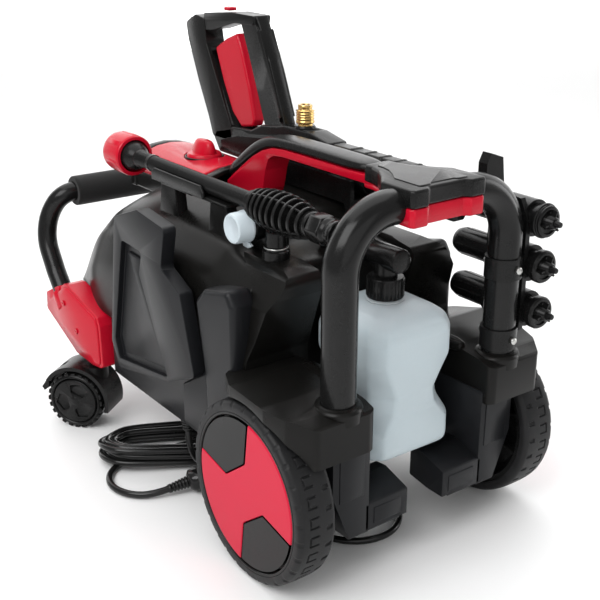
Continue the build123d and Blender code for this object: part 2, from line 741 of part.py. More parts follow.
def plug():
    relief = Pos(12, 0, 0) * Rot(0, 90, 0) * Cone(4.8, 7, 24)
    body = Pos(34, 0, 0) * Rot(0, 90, 0) * extrude(RegularPolygon(14, 6), amount=10, both=True)
    flare = Pos(49, 0, 0) * Rot(0, 90, 0) * Cone(12, 18.5, 10)
    face = Pos(57, 0, 0) * Rot(0, 90, 0) * Cylinder(18.5, 6)
    whole = relief + body + flare + face
    for y in (-9.5, 9.5):
        whole += Pos(69, y, 0) * Rot(0, 90, 0) * Cylinder(2.4, 19)
    return whole


plug_place = Pos(-159, 178, 9) * Rot(0, 0, -14) * Rot(0, -10, 0)
write("power_plug", plug_place * plug())
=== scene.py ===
import bmesh
import bpy
import math
from mathutils import Matrix, Vector


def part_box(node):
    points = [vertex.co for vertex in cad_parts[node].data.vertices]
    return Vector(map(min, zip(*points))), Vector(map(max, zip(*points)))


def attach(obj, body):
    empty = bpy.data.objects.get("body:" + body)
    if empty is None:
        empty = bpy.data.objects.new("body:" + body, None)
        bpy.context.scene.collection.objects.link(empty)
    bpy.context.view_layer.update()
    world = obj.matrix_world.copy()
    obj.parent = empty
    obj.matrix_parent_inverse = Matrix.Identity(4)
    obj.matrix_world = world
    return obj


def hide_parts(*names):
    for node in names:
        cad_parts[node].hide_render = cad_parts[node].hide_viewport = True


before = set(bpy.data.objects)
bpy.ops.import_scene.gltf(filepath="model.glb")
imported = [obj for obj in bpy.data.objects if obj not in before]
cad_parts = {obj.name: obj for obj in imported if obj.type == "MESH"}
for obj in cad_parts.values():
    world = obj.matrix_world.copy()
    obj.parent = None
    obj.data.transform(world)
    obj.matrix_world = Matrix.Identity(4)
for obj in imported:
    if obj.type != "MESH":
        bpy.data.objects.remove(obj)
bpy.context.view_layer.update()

mm = 0.001
axleLow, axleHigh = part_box("rear_axle")
axleY = (axleLow[1] + axleHigh[1]) / 2
axleZ = (axleLow[2] + axleHigh[2]) / 2 / mm
print("frame loaded, rear axle at", round(axleY, 4))


# Places are in millimetres: x across, y forward of the rear axle, z above the floor.
def at(x, y, z):
    return Vector((x * mm, y * mm + axleY, z * mm))


def linkObject(name, data):
    obj = bpy.data.objects.new(name, data)
    bpy.context.collection.objects.link(obj)
    return obj


def aim(obj, place, target):
    obj.location = at(*place)
    obj.rotation_mode = "QUATERNION"
    obj.rotation_quaternion = (at(*target) - obj.location).to_track_quat("-Z", "Y")
    return obj


# camera
cameraSetup = {"place": (-643.4, -736.0, 633.6), "target": (-8.7, 127.8, 222.2), "lens": 61.8}
cameraData = bpy.data.cameras.new("camera")
cameraData.lens = cameraSetup["lens"]
cameraData.sensor_width = 36.0
camera = aim(linkObject("camera", cameraData), cameraSetup["place"], cameraSetup["target"])
bpy.context.scene.camera = camera


# shared mesh helpers

def smoothFaces(mesh):
    for poly in mesh.polygons:
        poly.use_smooth = True


def linkMesh(name, verts, faces):
    mesh = bpy.data.meshes.new(name)
    mesh.from_pydata([tuple(v) for v in verts], [], faces)
    mesh.validate()
    bm = bmesh.new()
    bm.from_mesh(mesh)
    bmesh.ops.remove_doubles(bm, verts=bm.verts, dist=1e-6)
    bmesh.ops.recalc_face_normals(bm, faces=bm.faces)
    bm.to_mesh(mesh)
    bm.free()
    smoothFaces(mesh)
    return linkObject(name, mesh)


def roundCorners(points, radius, steps=5):
    result = []
    count = len(points)
    for i, point in enumerate(points):
        here = Vector(point)
        before = Vector(points[i - 1]) - here
        after = Vector(points[(i + 1) % count]) - here
        angle = before.angle(after)
        r = radius[i] if isinstance(radius, (list, tuple)) else radius
        reach = min(r / math.tan(angle / 2), before.length * 0.48, after.length * 0.48)
        if angle > math.radians(176) or r <= 0:
            result.append(tuple(here))
            continue
        start, end = here + before.normalized() * reach, here + after.normalized() * reach
        for s in range(steps + 1):
            t = s / steps
            result.append(tuple(start * (1 - t) ** 2 + here * 2 * t * (1 - t) + end * t ** 2))
    return result


axisOrder = {"x": lambda u, v, w: (w, u, v), "y": lambda u, v, w: (u, w, v), "z": lambda u, v, w: (u, v, w)}


# an outline pushed along an axis; x takes (y, z) points, y takes (x, z) and z takes (x, y)
def prism(name, outline, axis, low, high, radius=0.0, steps=5):
    points = roundCorners(outline, radius, steps) if radius else outline
    place = axisOrder[axis]
    verts = [at(*place(u, v, low)) for u, v in points] + [at(*place(u, v, high)) for u, v in points]
    count = len(points)
    faces = [list(range(count))[::-1], list(range(count, 2 * count))]
    faces += [[i, (i + 1) % count, (i + 1) % count + count, i + count] for i in range(count)]
    return linkMesh(name, verts, faces)


# rings of equal length joined into a closed skin, capped unless the last ring meets the first
def loft(name, rings, loop=False):
    count = len(rings[0])
    verts = [at(*point) for ring in rings for point in ring]
    faces = []
    last = len(rings) if loop else len(rings) - 1
    for r in range(last):
        a, b = r * count, ((r + 1) % len(rings)) * count
        faces += [[a + i, a + (i + 1) % count, b + (i + 1) % count, b + i] for i in range(count)]
    if not loop:
        faces += [list(range(count))[::-1], list(range((len(rings) - 1) * count, len(rings) * count))]
    return linkMesh(name, verts, faces)


# profile of (radius, distance along the axis) turned about an axis through a centre
def lathe(name, profile, centre, axis="z", steps=48, closed=False):
    rings = []
    for i in range(steps):
        a = 2 * math.pi * i / steps
        ring = []
        for r, w in profile:
            u, v = r * math.cos(a), r * math.sin(a)
            x, y, z = axisOrder[axis](u, v, w)
            ring.append((x + centre[0], y + centre[1], z + centre[2]))
        rings.append(ring)
    count = len(profile)
    verts = [at(*point) for ring in rings for point in ring]
    faces = []
    for r in range(steps):
        a, b = r * count, ((r + 1) % steps) * count
        last = count if closed else count - 1
        faces += [[a + i, a + (i + 1) % count, b + (i + 1) % count, b + i] for i in range(last)]
    if not closed:
        for end in (0, count - 1):
            if profile[end][0] > 0.01:
                faces.append([r * count + end for r in range(steps)])
    return linkMesh(name, verts, faces)


def box(name, x0, x1, y0, y1, z0, z1):
    return prism(name, [(x0, y0), (x1, y0), (x1, y1), (x0, y1)], "z", z0, z1)


# a round bar along a path of points
def bar(name, points, radius, sides=24):
    rings = []
    normal = None
    for i, point in enumerate(points):
        ahead = points[min(i + 1, len(points) - 1)] - points[max(i - 1, 0)]
        along = ahead.normalized()
        if normal is None:
            normal = along.orthogonal().normalized()
        normal = (normal - along * normal.dot(along)).normalized()
        side = along.cross(normal)
        ring = []
        for s in range(sides):
            a = 2 * math.pi * s / sides
            ring.append(tuple(point + normal * radius * math.cos(a) + side * radius * math.sin(a)))
        rings.append(ring)
    return loft(name, rings)


def applied(obj):
    depsgraph = bpy.context.evaluated_depsgraph_get()
    mesh = bpy.data.meshes.new_from_object(obj.evaluated_get(depsgraph))
    old = obj.data
    obj.modifiers.clear()
    obj.data = mesh
    if old.users == 0:
        bpy.data.meshes.remove(old)
    return obj


def discard(obj):
    mesh = obj.data
    bpy.data.objects.remove(obj)
    if mesh.users == 0:
        bpy.data.meshes.remove(mesh)


def boolean(obj, tools, operation="DIFFERENCE", crossing=False):
    for tool in tools:
        mod = obj.modifiers.new("cut", "BOOLEAN")
        mod.operation = operation
        mod.solver = "EXACT"
        mod.use_self = crossing
        mod.object = tool
        applied(obj)
        discard(tool)
    return obj


def soften(obj, width, segments=3, angle=28):
    mod = obj.modifiers.new("edge radius", "BEVEL")
    mod.width = width * mm
    mod.segments = segments
    mod.limit_method = "ANGLE"
    mod.angle_limit = math.radians(angle)
    mod.miter_outer = "MITER_ARC"
    mod.harden_normals = True
    smoothFaces(obj.data)
    return obj


def subdivide(obj, levels=2):
    mod = obj.modifiers.new("smooth surface", "SUBSURF")
    mod.levels = levels
    mod.render_levels = levels
    return obj


def join(name, objs):
    bm = bmesh.new()
    for obj in objs:
        if obj.modifiers:
            applied(obj)
        part = obj.data.copy()
        part.transform(obj.matrix_world)
        bm.from_mesh(part)
        bpy.data.meshes.remove(part)
    mesh = bpy.data.meshes.new(name)
    bm.to_mesh(mesh)
    bm.free()
    smoothFaces(mesh)
    for obj in objs:
        discard(obj)
    return linkObject(name, mesh)


def mirrorOf(obj, name):
    if obj.modifiers:
        applied(obj)
    mesh = obj.data.copy()
    mesh.transform(Matrix.Diagonal((-1, 1, 1, 1)))
    mesh.flip_normals()
    return linkObject(name, mesh)


def moved(obj, matrix):
    obj.data.transform(matrix)
    return obj


def turnAbout(point, axis, degrees):
    centre = at(*point)
    turn = Matrix.Rotation(math.radians(degrees), 4, axis)
    return Matrix.Translation(centre) @ turn @ Matrix.Translation(-centre)


# turns a piece built round the rear axle's ground point and carries it to a place
def carriedTo(place, turn):
    return Matrix.Translation(at(*place)) @ turn @ Matrix.Translation(-at(0, 0, 0))


def around(centre, radius, angles):
    return [(centre[0] + radius * math.cos(a), centre[1] + radius * math.sin(a)) for a in angles]


def drawnIn(outline, share, centre):
    return [tuple(u * share + (1 - share) * c for u, c in zip(point, centre)) for point in outline]


def hexagon(centre, radius):
    return around(centre, radius, [math.radians(60 * k) for k in range(6)])


def autoSmooth(obj, angle=35):
    smoothFaces(obj.data)
    obj.data.set_sharp_from_angle(angle=math.radians(angle))
    return obj


def dress(obj, material, slotName, *nodes, body="machine", angle=None):
    if angle:
        autoSmooth(obj, angle)
    obj.data.materials.clear()
    obj.data.materials.append(material)
    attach(obj, body)
    if nodes:
        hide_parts(*nodes)
    return obj


# dresses a piece and its mirrored twin for the other side, as (body, node) for each
def dressPair(obj, twinName, material, slotName, own, twin, angle=None):
    other = mirrorOf(obj, twinName)
    for piece, (body, node) in ((obj, own), (other, twin)):
        dress(piece, material, slotName, node, body=body, angle=angle)


# surface effects, each a node group placed in the materials with their own values

def feed(tree, socket, value):
    if isinstance(value, (int, float, tuple)):
        socket.default_value = value
    else:
        tree.links.new(value, socket)


def newGroup(name, inputs, outputs):
    group = bpy.data.node_groups.new(name, "ShaderNodeTree")
    for way, sockets in (("INPUT", inputs), ("OUTPUT", outputs)):
        for label, kind, *value in sockets:
            socket = group.interface.new_socket(name=label, in_out=way, socket_type="NodeSocket" + kind)
            if value:
                socket.default_value = value[0]
    return group, group.nodes.new("NodeGroupInput").outputs, group.nodes.new("NodeGroupOutput").inputs


def mathNode(tree, operation, a, b, clamp=False):
    node = tree.nodes.new("ShaderNodeMath")
    node.operation = operation
    node.use_clamp = clamp
    feed(tree, node.inputs[0], a)
    feed(tree, node.inputs[1], b)
    return node.outputs[0]


def mixColor(tree, factor, a, b):
    node = tree.nodes.new("ShaderNodeMix")
    node.data_type = "RGBA"
    for index, value in ((0, factor), (6, a), (7, b)):
        feed(tree, node.inputs[index], value)
    return node.outputs[2]


def noise(tree, vector, scale, detail=3.0, rough=0.55):
    node = tree.nodes.new("ShaderNodeTexNoise")
    node.inputs["Detail"].default_value = detail
    node.inputs["Roughness"].default_value = rough
    feed(tree, node.inputs["Scale"], scale)
    tree.links.new(vector, node.inputs["Vector"])
    return node.outputs["Fac"]


def spread(tree, value, low, high, toLow=0.0, toHigh=1.0):
    node = tree.nodes.new("ShaderNodeMapRange")
    node.clamp = True
    tree.links.new(value, node.inputs["Value"])
    for label, number in (("From Min", low), ("From Max", high), ("To Min", toLow), ("To Max", toHigh)):
        feed(tree, node.inputs[label], number)
    return node.outputs["Result"]


def buildMouldedSkin():
    tree, given, result = newGroup("moulded skin", [
        ("Position", "Vector"), ("Edge", "Float", 0.5),
        ("Colour", "Color", (0.02, 0.02, 0.02, 1)), ("Worn Colour", "Color", (0.1, 0.1, 0.1, 1)),
        ("Grain Size", "Float", 900.0), ("Grain Depth", "Float", 0.5),
        ("Gloss", "Float", 0.4), ("Gloss Spread", "Float", 0.08),
        ("Wear", "Float", 0.3)],
        [("Colour", "Color"), ("Roughness", "Float"), ("Height", "Float"),
         ("Wear Mask", "Float")])
    place = given["Position"]
    fine = noise(tree, place, given["Grain Size"], 4.0, 0.6)
    broad = noise(tree, place, 9.0, 4.0, 0.55)
    rubbed = noise(tree, place, 70.0, 5.0, 0.65)
    edge = spread(tree, given["Edge"], 0.515, 0.60)
    worn = mathNode(tree, "MULTIPLY", edge, spread(tree, rubbed, 0.35, 0.65))
    worn = mathNode(tree, "MULTIPLY", worn, given["Wear"], True)
    tone = mixColor(tree, spread(tree, broad, 0.3, 0.7, 0.0, 0.22), given["Colour"], given["Worn Colour"])
    tone = mixColor(tree, spread(tree, fine, 0.3, 0.7, 0.0, 0.10), tone, given["Worn Colour"])
    colour = mixColor(tree, worn, tone, given["Worn Colour"])
    swing = mathNode(tree, "MULTIPLY", spread(tree, broad, 0.3, 0.7, -1.0, 1.0), given["Gloss Spread"])
    sparkle = mathNode(tree, "MULTIPLY", spread(tree, fine, 0.3, 0.7, -0.5, 0.5), given["Gloss Spread"])
    rough = mathNode(tree, "ADD", mathNode(tree, "ADD", given["Gloss"], swing), sparkle)
    rough = mathNode(tree, "SUBTRACT", rough, mathNode(tree, "MULTIPLY", worn, 0.08), True)
    height = mathNode(tree, "MULTIPLY", fine, given["Grain Depth"])
    for label, value in (("Colour", colour), ("Roughness", rough), ("Height", height), ("Wear Mask", worn)):
        tree.links.new(value, result[label])
    return tree


def buildTurnedLines():
    tree, given, result = newGroup("turned lines", [
        ("Position", "Vector"), ("Spacing", "Float", 900.0),
        ("Stretch", "Vector", (1.0, 1.0, 8.0)), ("Roughness", "Float", 0.25)],
        [("Roughness", "Float"), ("Height", "Float"), ("Tone", "Float")])
    stretched = tree.nodes.new("ShaderNodeVectorMath")
    stretched.operation = "MULTIPLY"
    tree.links.new(given["Position"], stretched.inputs[0])
    tree.links.new(given["Stretch"], stretched.inputs[1])
    lines = noise(tree, stretched.outputs[0], given["Spacing"], 2.0, 0.6)
    cloud = noise(tree, given["Position"], 60.0, 3.0)
    rough = mathNode(tree, "ADD", given["Roughness"], spread(tree, lines, 0.3, 0.7, -0.08, 0.1), True)
    tree.links.new(rough, result["Roughness"])
    tree.links.new(lines, result["Height"])
    tree.links.new(cloud, result["Tone"])
    return tree


def buildFoamCells():
    tree, given, result = newGroup("foam cells", [
        ("Position", "Vector"), ("Cell Size", "Float", 1100.0)],
        [("Mask", "Float"), ("Height", "Float")])
    cells = tree.nodes.new("ShaderNodeTexVoronoi")
    tree.links.new(given["Position"], cells.inputs["Vector"])
    tree.links.new(given["Cell Size"], cells.inputs["Scale"])
    waves = noise(tree, given["Position"], 40.0, 3.0)
    tree.links.new(mathNode(tree, "ADD", cells.outputs["Distance"],
        mathNode(tree, "MULTIPLY", waves, 1.4)), result["Height"])
    tree.links.new(cells.outputs["Distance"], result["Mask"])
    return tree


mouldedSkin = buildMouldedSkin()
turnedLines = buildTurnedLines()
foamCells = buildFoamCells()


def startMaterial(name):
    material = bpy.data.materials.new(name)
    material.use_nodes = True
    tree = material.node_tree
    shader = tree.nodes["Principled BSDF"]
    place = tree.nodes.new("ShaderNodeTexCoord").outputs["Object"]
    return material, tree, shader, place


def addGroup(tree, group, values):
    node = tree.nodes.new("ShaderNodeGroup")
    node.node_tree = group
    for label, value in values.items():
        feed(tree, node.inputs[label], value)
    return node


def bumpFrom(tree, shader, height, strength, distance):
    bump = tree.nodes.new("ShaderNodeBump")
    bump.inputs["Strength"].default_value = strength
    bump.inputs["Distance"].default_value = distance
    tree.links.new(height, bump.inputs["Height"])
    tree.links.new(bump.outputs["Normal"], shader.inputs["Normal"])


def plastic(name, colour, worn, gloss, glossSpread=0.06, grain=1100.0, depth=0.5, wear=0.35, bump=0.12,
        specular=0.2, coat=0.0, translucent=0.0):
    material, tree, shader, place = startMaterial(name)
    edge = tree.nodes.new("ShaderNodeNewGeometry").outputs["Pointiness"]
    skin = addGroup(tree, mouldedSkin, { "Position": place, "Edge": edge, "Colour": (*colour, 1),
        "Worn Colour": (*worn, 1), "Grain Size": grain, "Grain Depth": depth, "Gloss": gloss,
        "Gloss Spread": glossSpread, "Wear": wear})
    tree.links.new(skin.outputs["Colour"], shader.inputs["Base Color"])
    tree.links.new(skin.outputs["Roughness"], shader.inputs["Roughness"])
    shader.inputs["Specular IOR Level"].default_value = specular
    shader.inputs["Coat Weight"].default_value = coat
    shader.inputs["Coat Roughness"].default_value = 0.12
    if translucent:
        shader.inputs["Subsurface Weight"].default_value = translucent
        shader.inputs["Subsurface Radius"].default_value = (0.9, 1.0, 1.0)
        shader.inputs["Subsurface Scale"].default_value = 0.012
    bumpFrom(tree, shader, skin.outputs["Height"], bump, 0.0006)
    return material


def metal(name, colour, roughness, stretch=(1.0, 1.0, 8.0), spacing=900.0):
    material, tree, shader, place = startMaterial(name)
    lines = addGroup(tree, turnedLines, {"Position": place, "Spacing": spacing, "Stretch": stretch,
        "Roughness": roughness})
    dark = tuple(channel * 0.72 for channel in colour)
    tone = mixColor(tree, lines.outputs["Tone"], (*colour, 1), (*dark, 1))
    tree.links.new(tone, shader.inputs["Base Color"])
    tree.links.new(lines.outputs["Roughness"], shader.inputs["Roughness"])
    shader.inputs["Metallic"].default_value = 1.0
    bumpFrom(tree, shader, lines.outputs["Height"], 0.15, 0.0004)
    return material


def foam(name, colour):
    material, tree, shader, place = startMaterial(name)
    cells = addGroup(tree, foamCells, {"Position": place, "Cell Size": 1300.0})
    light = tuple(channel * 2.2 for channel in colour)
    tree.links.new(mixColor(tree, cells.outputs["Mask"], (*colour, 1), (*light, 1)),
        shader.inputs["Base Color"])
    shader.inputs["Roughness"].default_value = 0.86
    shader.inputs["Specular IOR Level"].default_value = 0.3
    shader.inputs["Sheen Weight"].default_value = 0.12
    bumpFrom(tree, shader, cells.outputs["Height"], 0.5, 0.0007)
    return material


coverBlack = plastic("cover black", (0.0036, 0.0034, 0.0031), (0.014, 0.0135, 0.0125), 0.30, 0.05,
    bump=0.06, wear=0.2, specular=0.16)
tubGrey = plastic("tub charcoal", (0.0065, 0.0068, 0.0078), (0.022, 0.023, 0.026), 0.34, 0.05, bump=0.07,
    wear=0.2, specular=0.18)
satinBlack = plastic("satin black", (0.0042, 0.0042, 0.0042), (0.018, 0.018, 0.018), 0.27, 0.05,
    bump=0.05, wear=0.2)
treadBlack = plastic("tread black", (0.0075, 0.0075, 0.008), (0.03, 0.03, 0.031), 0.46, 0.08, grain=700.0,
    depth=0.9, wear=0.6, bump=0.2)
discRed = plastic("disc red", (0.56, 0.002, 0.030), (0.62, 0.02, 0.06), 0.34, 0.04, grain=1500.0,
    bump=0.05, wear=0.15, coat=0.03)
shellRed = plastic("shell red", (0.48, 0.001, 0.016), (0.55, 0.02, 0.04), 0.24, 0.04, grain=1500.0,
    bump=0.04, wear=0.15, coat=0.05)
tubePaint = plastic("tube paint", (0.0045, 0.0045, 0.0045), (0.018, 0.018, 0.018), 0.24, 0.04,
    grain=420.0, depth=1.0, bump=0.05, wear=0.2, coat=0.08)
bottleWhite = plastic("bottle white", (0.50, 0.575, 0.61), (0.60, 0.67, 0.70), 0.36, 0.05, grain=300.0,
    bump=0.06, wear=0.2, translucent=0.55)
capWhite = plastic("cap white", (0.50, 0.57, 0.61), (0.64, 0.69, 0.72), 0.30, 0.04, grain=900.0,
    bump=0.04, wear=0.1, translucent=0.25)
cordBlack = plastic("cord black", (0.0045, 0.0045, 0.0045), (0.02, 0.02, 0.02), 0.22, 0.06, grain=500.0,
    bump=0.08, coat=0.25)
foamBlack = foam("foam black", (0.0045, 0.0045, 0.0045))
brassMetal = metal("turned brass", (0.72, 0.47, 0.17), 0.24)
steelMetal = metal("zinc steel", (0.62, 0.62, 0.60), 0.34, (1.0, 6.0, 1.0))
castMetal = metal("cast aluminium", (0.58, 0.58, 0.59), 0.48, (1.0, 1.0, 1.0), 500.0)
print("materials made")


# CAD parts whose shape is already right keep it, with their own surface and softened edges
def keep(material, width, *nodes):
    for node in nodes:
        part = bpy.data.objects[node]
        for place in part.material_slots:
            place.link = "OBJECT"
            place.material = material
        if width:
            edge = part.modifiers.new("edge radius", "BEVEL")
            edge.width = width * mm
            edge.segments = 2
            edge.limit_method = "ANGLE"
            edge.angle_limit = math.radians(32)
            edge.use_clamp_overlap = True
            edge.harden_normals = True


# mains cord: lead from the gland, flat hank of turns on the floor, tail to the plug
cordSetup = {"diameter": 8.0, "length": 5.0, "gland": (-120.0, 195.0, 66.5)}
lead = [(-120, 195, 66.5), (-120, 195, 40.8), (-107, 192, 18.3), (-84, 184, 4.3), (-60, 146, 4.3),
    (-57, 97, 4.3), (-70, 52, 4.3), (-72, 6, 4.3), (-46, -29, 4.3), (-4, -36, 4.3), (31, -9, 4.3),
    (42, 38, 4.3), (38, 88, 4.3), (46, 136, 4.3), (46, 160, 4.3)]
tail = [(-149, 272, 4.3), (-176, 270, 4.3), (-198, 253, 4.3), (-206, 227, 4.3), (-198, 201, 4.5),
    (-178.4, 183, 5.5), (-159, 178, 9)]
hank = {"centre": (-66.0, 238.0), "turn": -28.9, "straight": 91.0, "turns": 7.2}
ringSteps = [(0.0, 41), (0.85, 41), (1.0, 33), (2.55, 33), (2.7, 41), (4.25, 41), (4.4, 33), (5.1, 33),
    (5.25, 25), (9.0, 25)]
levelSteps = [(0.0, 4.3), (1.7, 4.3), (1.85, 12.3), (3.4, 12.3), (3.55, 20.3), (5.25, 20.3), (7.25, 4.5),
    (9.0, 4.3)]
passingLift = {7: 2.0, 8: 6.0, 9: 8.4, 10: 8.4, 11: 6.0, 12: 2.0}


def stepped(keys, value):
    for (u0, v0), (u1, v1) in zip(keys, keys[1:]):
        if value <= u1:
            return v0 + (v1 - v0) * (value - u0) / (u1 - u0)
    return keys[-1][1]


def hankPlace(x, y, z):
    a = math.radians(hank["turn"])
    return (hank["centre"][0] + x * math.cos(a) - y * math.sin(a),
        hank["centre"][1] + x * math.sin(a) + y * math.cos(a), z)


def hankTurns():
    points = []
    reach = 1 / math.cos(math.radians(15))
    for i in range(int(hank["turns"] * 16)):
        u, step = (i + 0.5) / 16, i % 16
        r, z = stepped(ringSteps, u), stepped(levelSteps, u) + passingLift.get(step, 0.0)
        if step in (3, 4, 11, 12):
            x = hank["straight"] / 3 * (1 if step in (3, 12) else -1)
            y = r if step in (3, 4) else -r
        else:
            index = step if step < 3 else step - 2 if step < 11 else step - 4
            angle = math.radians(15 + 30 * index)
            x = (hank["straight"] if math.cos(angle) > 0 else
                -hank["straight"]) + r * reach * math.cos(angle)
            y = r * reach * math.sin(angle)
        points.append(hankPlace(x, y, z))
    return points + [hankPlace(-8, 21, 4.3), hankPlace(-48, 8, 4.3)]


def cordCurve(name, points):
    curve = bpy.data.curves.new(name, "CURVE")
    curve.dimensions = "3D"
    line = curve.splines.new("NURBS")
    line.points.add(len(points) - 1)
    for point, place in zip(line.points, points):
        point.co = (*at(*place), 1)
    line.order_u = 3
    line.use_endpoint_u = True
    line.resolution_u = 6
    curve.bevel_depth = cordSetup["diameter"] / 2 * mm
    curve.bevel_resolution = 6
    curve.use_fill_caps = True
    return linkObject(name, curve)


cordLine = cordCurve("mains_cord", lead + hankTurns() + tail)
dress(cordLine, cordBlack, "cord_rubber", "cord_lead", "cord_hank", "cord_tail")

# strain relief under the housing, tapered and ribbed
glandShape = [(0.5, 66.6), (6.0, 66.6), (6.4, 68.0)]
for step in range(5):
    low = 68.0 + step * 3.4
    wide = 6.6 + step * 0.5
    glandShape += [(wide, low + 0.4), (wide, low + 2.2), (wide - 1.1, low + 2.5), (wide - 1.1, low + 3.3)]
glandShape += [(10.5, 86.0), (12.0, 87.0), (12.0, 91.5), (0.5, 91.5)]
gland = lathe("cord_relief", glandShape, (-120.0, 195.0, 0.0), "z", 40)
soften(gland, 0.4, 2)
dress(gland, cordBlack, "cord_rubber", "cord_gland")

# plug, built along Y at the origin and then turned to lie on the floor
plugShape = {"heading": -14.0, "pitch": 10.0, "pinGap": 19.0}


def plugRing(y, wide, high, squareness):
    ring = []
    for i in range(40):
        a = 2 * math.pi * i / 40
        c, s = math.cos(a), math.sin(a)
        ring.append((wide * math.copysign(abs(c) ** squareness, c), y,
            high * math.copysign(abs(s) ** squareness, s)))
    return ring


def buildPlug():
    rings = [plugRing(0, 4.8, 4.8, 1)]
    for step in range(6):
        y, r = 2 + step * 3.8, 5.1 + step * 0.36
        rings += [plugRing(y, r, r, 1), plugRing(y + 2.2, r + 0.2, r + 0.2, 1),
            plugRing(y + 2.4, r - 0.9, r - 0.9, 1), plugRing(y + 3.5, r - 0.9, r - 0.9, 1)]
    rings += [plugRing(25, 9.5, 8.5, 0.9), plugRing(28, 13.5, 11.5, 0.8), plugRing(40, 14.0, 11.0, 0.75),
        plugRing(46, 13.5, 11.5, 0.8), plugRing(51, 16.5, 16.2, 0.95), plugRing(54.5, 18.4, 18.4, 1),
        plugRing(59.2, 18.6, 18.6, 1), plugRing(60, 17.8, 17.8, 1)]
    body = loft("plug_body", rings)
    pins = []
    for x in (-plugShape["pinGap"] / 2, plugShape["pinGap"] / 2):
        profile = [(0.1, 59.0), (2.4, 59.0), (2.4, 77.2), (1.6, 78.4), (0.1, 78.5)]
        pins.append(lathe("plug_pin", profile, (x, 0, 0), "y", 20))
    return body, join("plug_pins", pins)


plugBody, plugPins = buildPlug()
plugTurn = Matrix.Rotation(math.radians(plugShape["heading"] - 90), 4, "Z")
plugTurn = plugTurn @ Matrix.Rotation(math.radians(plugShape["pitch"]), 4, "X")
plugMove = carriedTo(tail[-1], plugTurn)
for part in (plugBody, plugPins):
    moved(part, plugMove)
dress(plugBody, cordBlack, "cord_rubber", "power_plug")
dress(plugPins, steelMetal, "steel")
print("cord laid")


# rear wheels: a moulded tyre ring, a black rim and a red disc with two black cups
wheelShape = {"radius": 95.0, "repeats": 30, "groove": 1.5, "notch": 1.4, "disc": 80.0, "cup": 79.2,
    "ribs": 10}
pocketCorners = [(-2.0, 34.0), (32.0, 8.0)]
pocketEdges = (12.7, 96.0)


def treadDepth(arc, x):
    if abs(abs(arc) - 5.2) < 1.1 and 149 < x < 160 or abs(arc) < 6.3 and 158.2 < x < 160.6:
        return wheelShape["groove"]
    if abs(abs(arc) - 9.0) < 1.1 and 134 < x < 141:
        return wheelShape["groove"]
    return 0.0


def buildTyre():
    steps, repeats = 660, wheelShape["repeats"]
    across = [(84.0, 129.2), (89.0, 128.6), (92.4, 130.0), (94.0, 132.6)]
    across += [(95.0 - 0.9 * abs((x - 150) / 17) ** 3, x) for x in [133.6 + 0.9 * k for k in range(38)]]
    across += [(93.4, 168.6), (91.6, 170.6), (89.0, 171.3), (84.0, 171.0)]
    rings = []
    for i in range(steps):
        a = 2 * math.pi * i / steps
        arc = ((i * repeats / steps) % 1 - 0.5) * 2 * math.pi * wheelShape["radius"] / repeats
        ring = []
        for r, x in across:
            low = treadDepth(arc, x)
            if x > 168 and abs(arc) < 2.6 and r > 90:
                low = wheelShape["notch"]
            ring.append((x, (r - low) * math.cos(a), axleZ + (r - low) * math.sin(a)))
        rings.append(ring)
    return loft("tyre", rings, loop=True)


def discOutline():
    points = []
    for turn in (0, 180):
        sweep = 360 - 180 - pocketEdges[1] + pocketEdges[0]
        points += around((0, axleZ), wheelShape["disc"],
            [math.radians(pocketEdges[1] + turn + k * sweep / 40) for k in range(41)])
        sign = -1 if turn == 0 else 1
        points += [(sign * pocketCorners[1][0], axleZ + sign * pocketCorners[1][1]),
            (sign * pocketCorners[0][0], axleZ + sign * pocketCorners[0][1])]
    return points


def pocketOutline(sign, inset):
    a, b = math.radians(pocketEdges[0]), math.radians(pocketEdges[1])
    arc = around((0, 0), wheelShape["cup"], [a + (b - a) * k / 16 for k in range(17)])
    points = arc + pocketCorners
    middle = (38.0, 42.0)
    return [(sign * (middle[0] + (y - middle[0]) * inset), axleZ + sign
        * (middle[1] + (z - middle[1]) * inset)) for y, z in points]


def buildCup(sign):
    layers = [(1.0, 171.0), (0.95, 171.0), (0.93, 169.0), (0.30, 157.0), (0.05, 156.0)]
    rings = [[(x, y, z) for y, z in pocketOutline(sign, inset)] for inset, x in layers]
    cup = loft("cup", rings)
    return autoSmooth(cup, 20)


def buildWheel():
    tyre = buildTyre()
    disc = prism("wheel_cover", discOutline(), "x", 157.2, 171.2)
    soften(disc, 2.2, 4, 30)
    profile = [(84.0, 131.5), (84.0, 170.4), (83.2, 171.2), (81.4, 171.2), (80.6, 170.2), (80.4, 158.0),
        (60.0, 153.5), (14.0, 153.0), (14.0, 125.6), (9.0, 125.4), (9.0, 124.0), (17.0, 124.0),
        (18.5, 128.0), (20.0, 144.0), (70.0, 144.5), (77.0, 140.0), (78.6, 131.0)]
    parts = [lathe("rim_ring", profile, (0, 0, axleZ), "x", 96, closed=True)]
    for k in range(wheelShape["ribs"]):
        rib = box("rim_rib", 133.5, 145.0, -1.6, 1.6, axleZ + 18, axleZ + 78)
        moved(rib, turnAbout((140, 0, axleZ), "X", k * 360 / wheelShape["ribs"]))
        parts.append(rib)
    parts += [buildCup(1), buildCup(-1)]
    rim = join("rim", parts)
    autoSmooth(rim, 30)
    soften(rim, 0.5, 2, 40)
    return tyre, rim, disc


for part, material, slotName, node in zip(buildWheel(), (treadBlack, satinBlack, discRed),
        ("tyre", "rim_black", "red_plastic"), ("tyre", "rim", "wheel_disc")):
    dressPair(part, part.name + "_left_side", material, slotName, ("wheel_right", node + "_right"),
        ("wheel_left", node + "_left"), 50 if node == "tyre" else None)
print("wheels built")


# the cover carries the socket of the bottle's elbow, so the bottle's values come first
bottleShape = {"axis": (0, -5, 0), "edge": 3.4, "capRibs": 30, "elbow": (0, 0, 308)}
bottleAt = bottleShape["axis"]

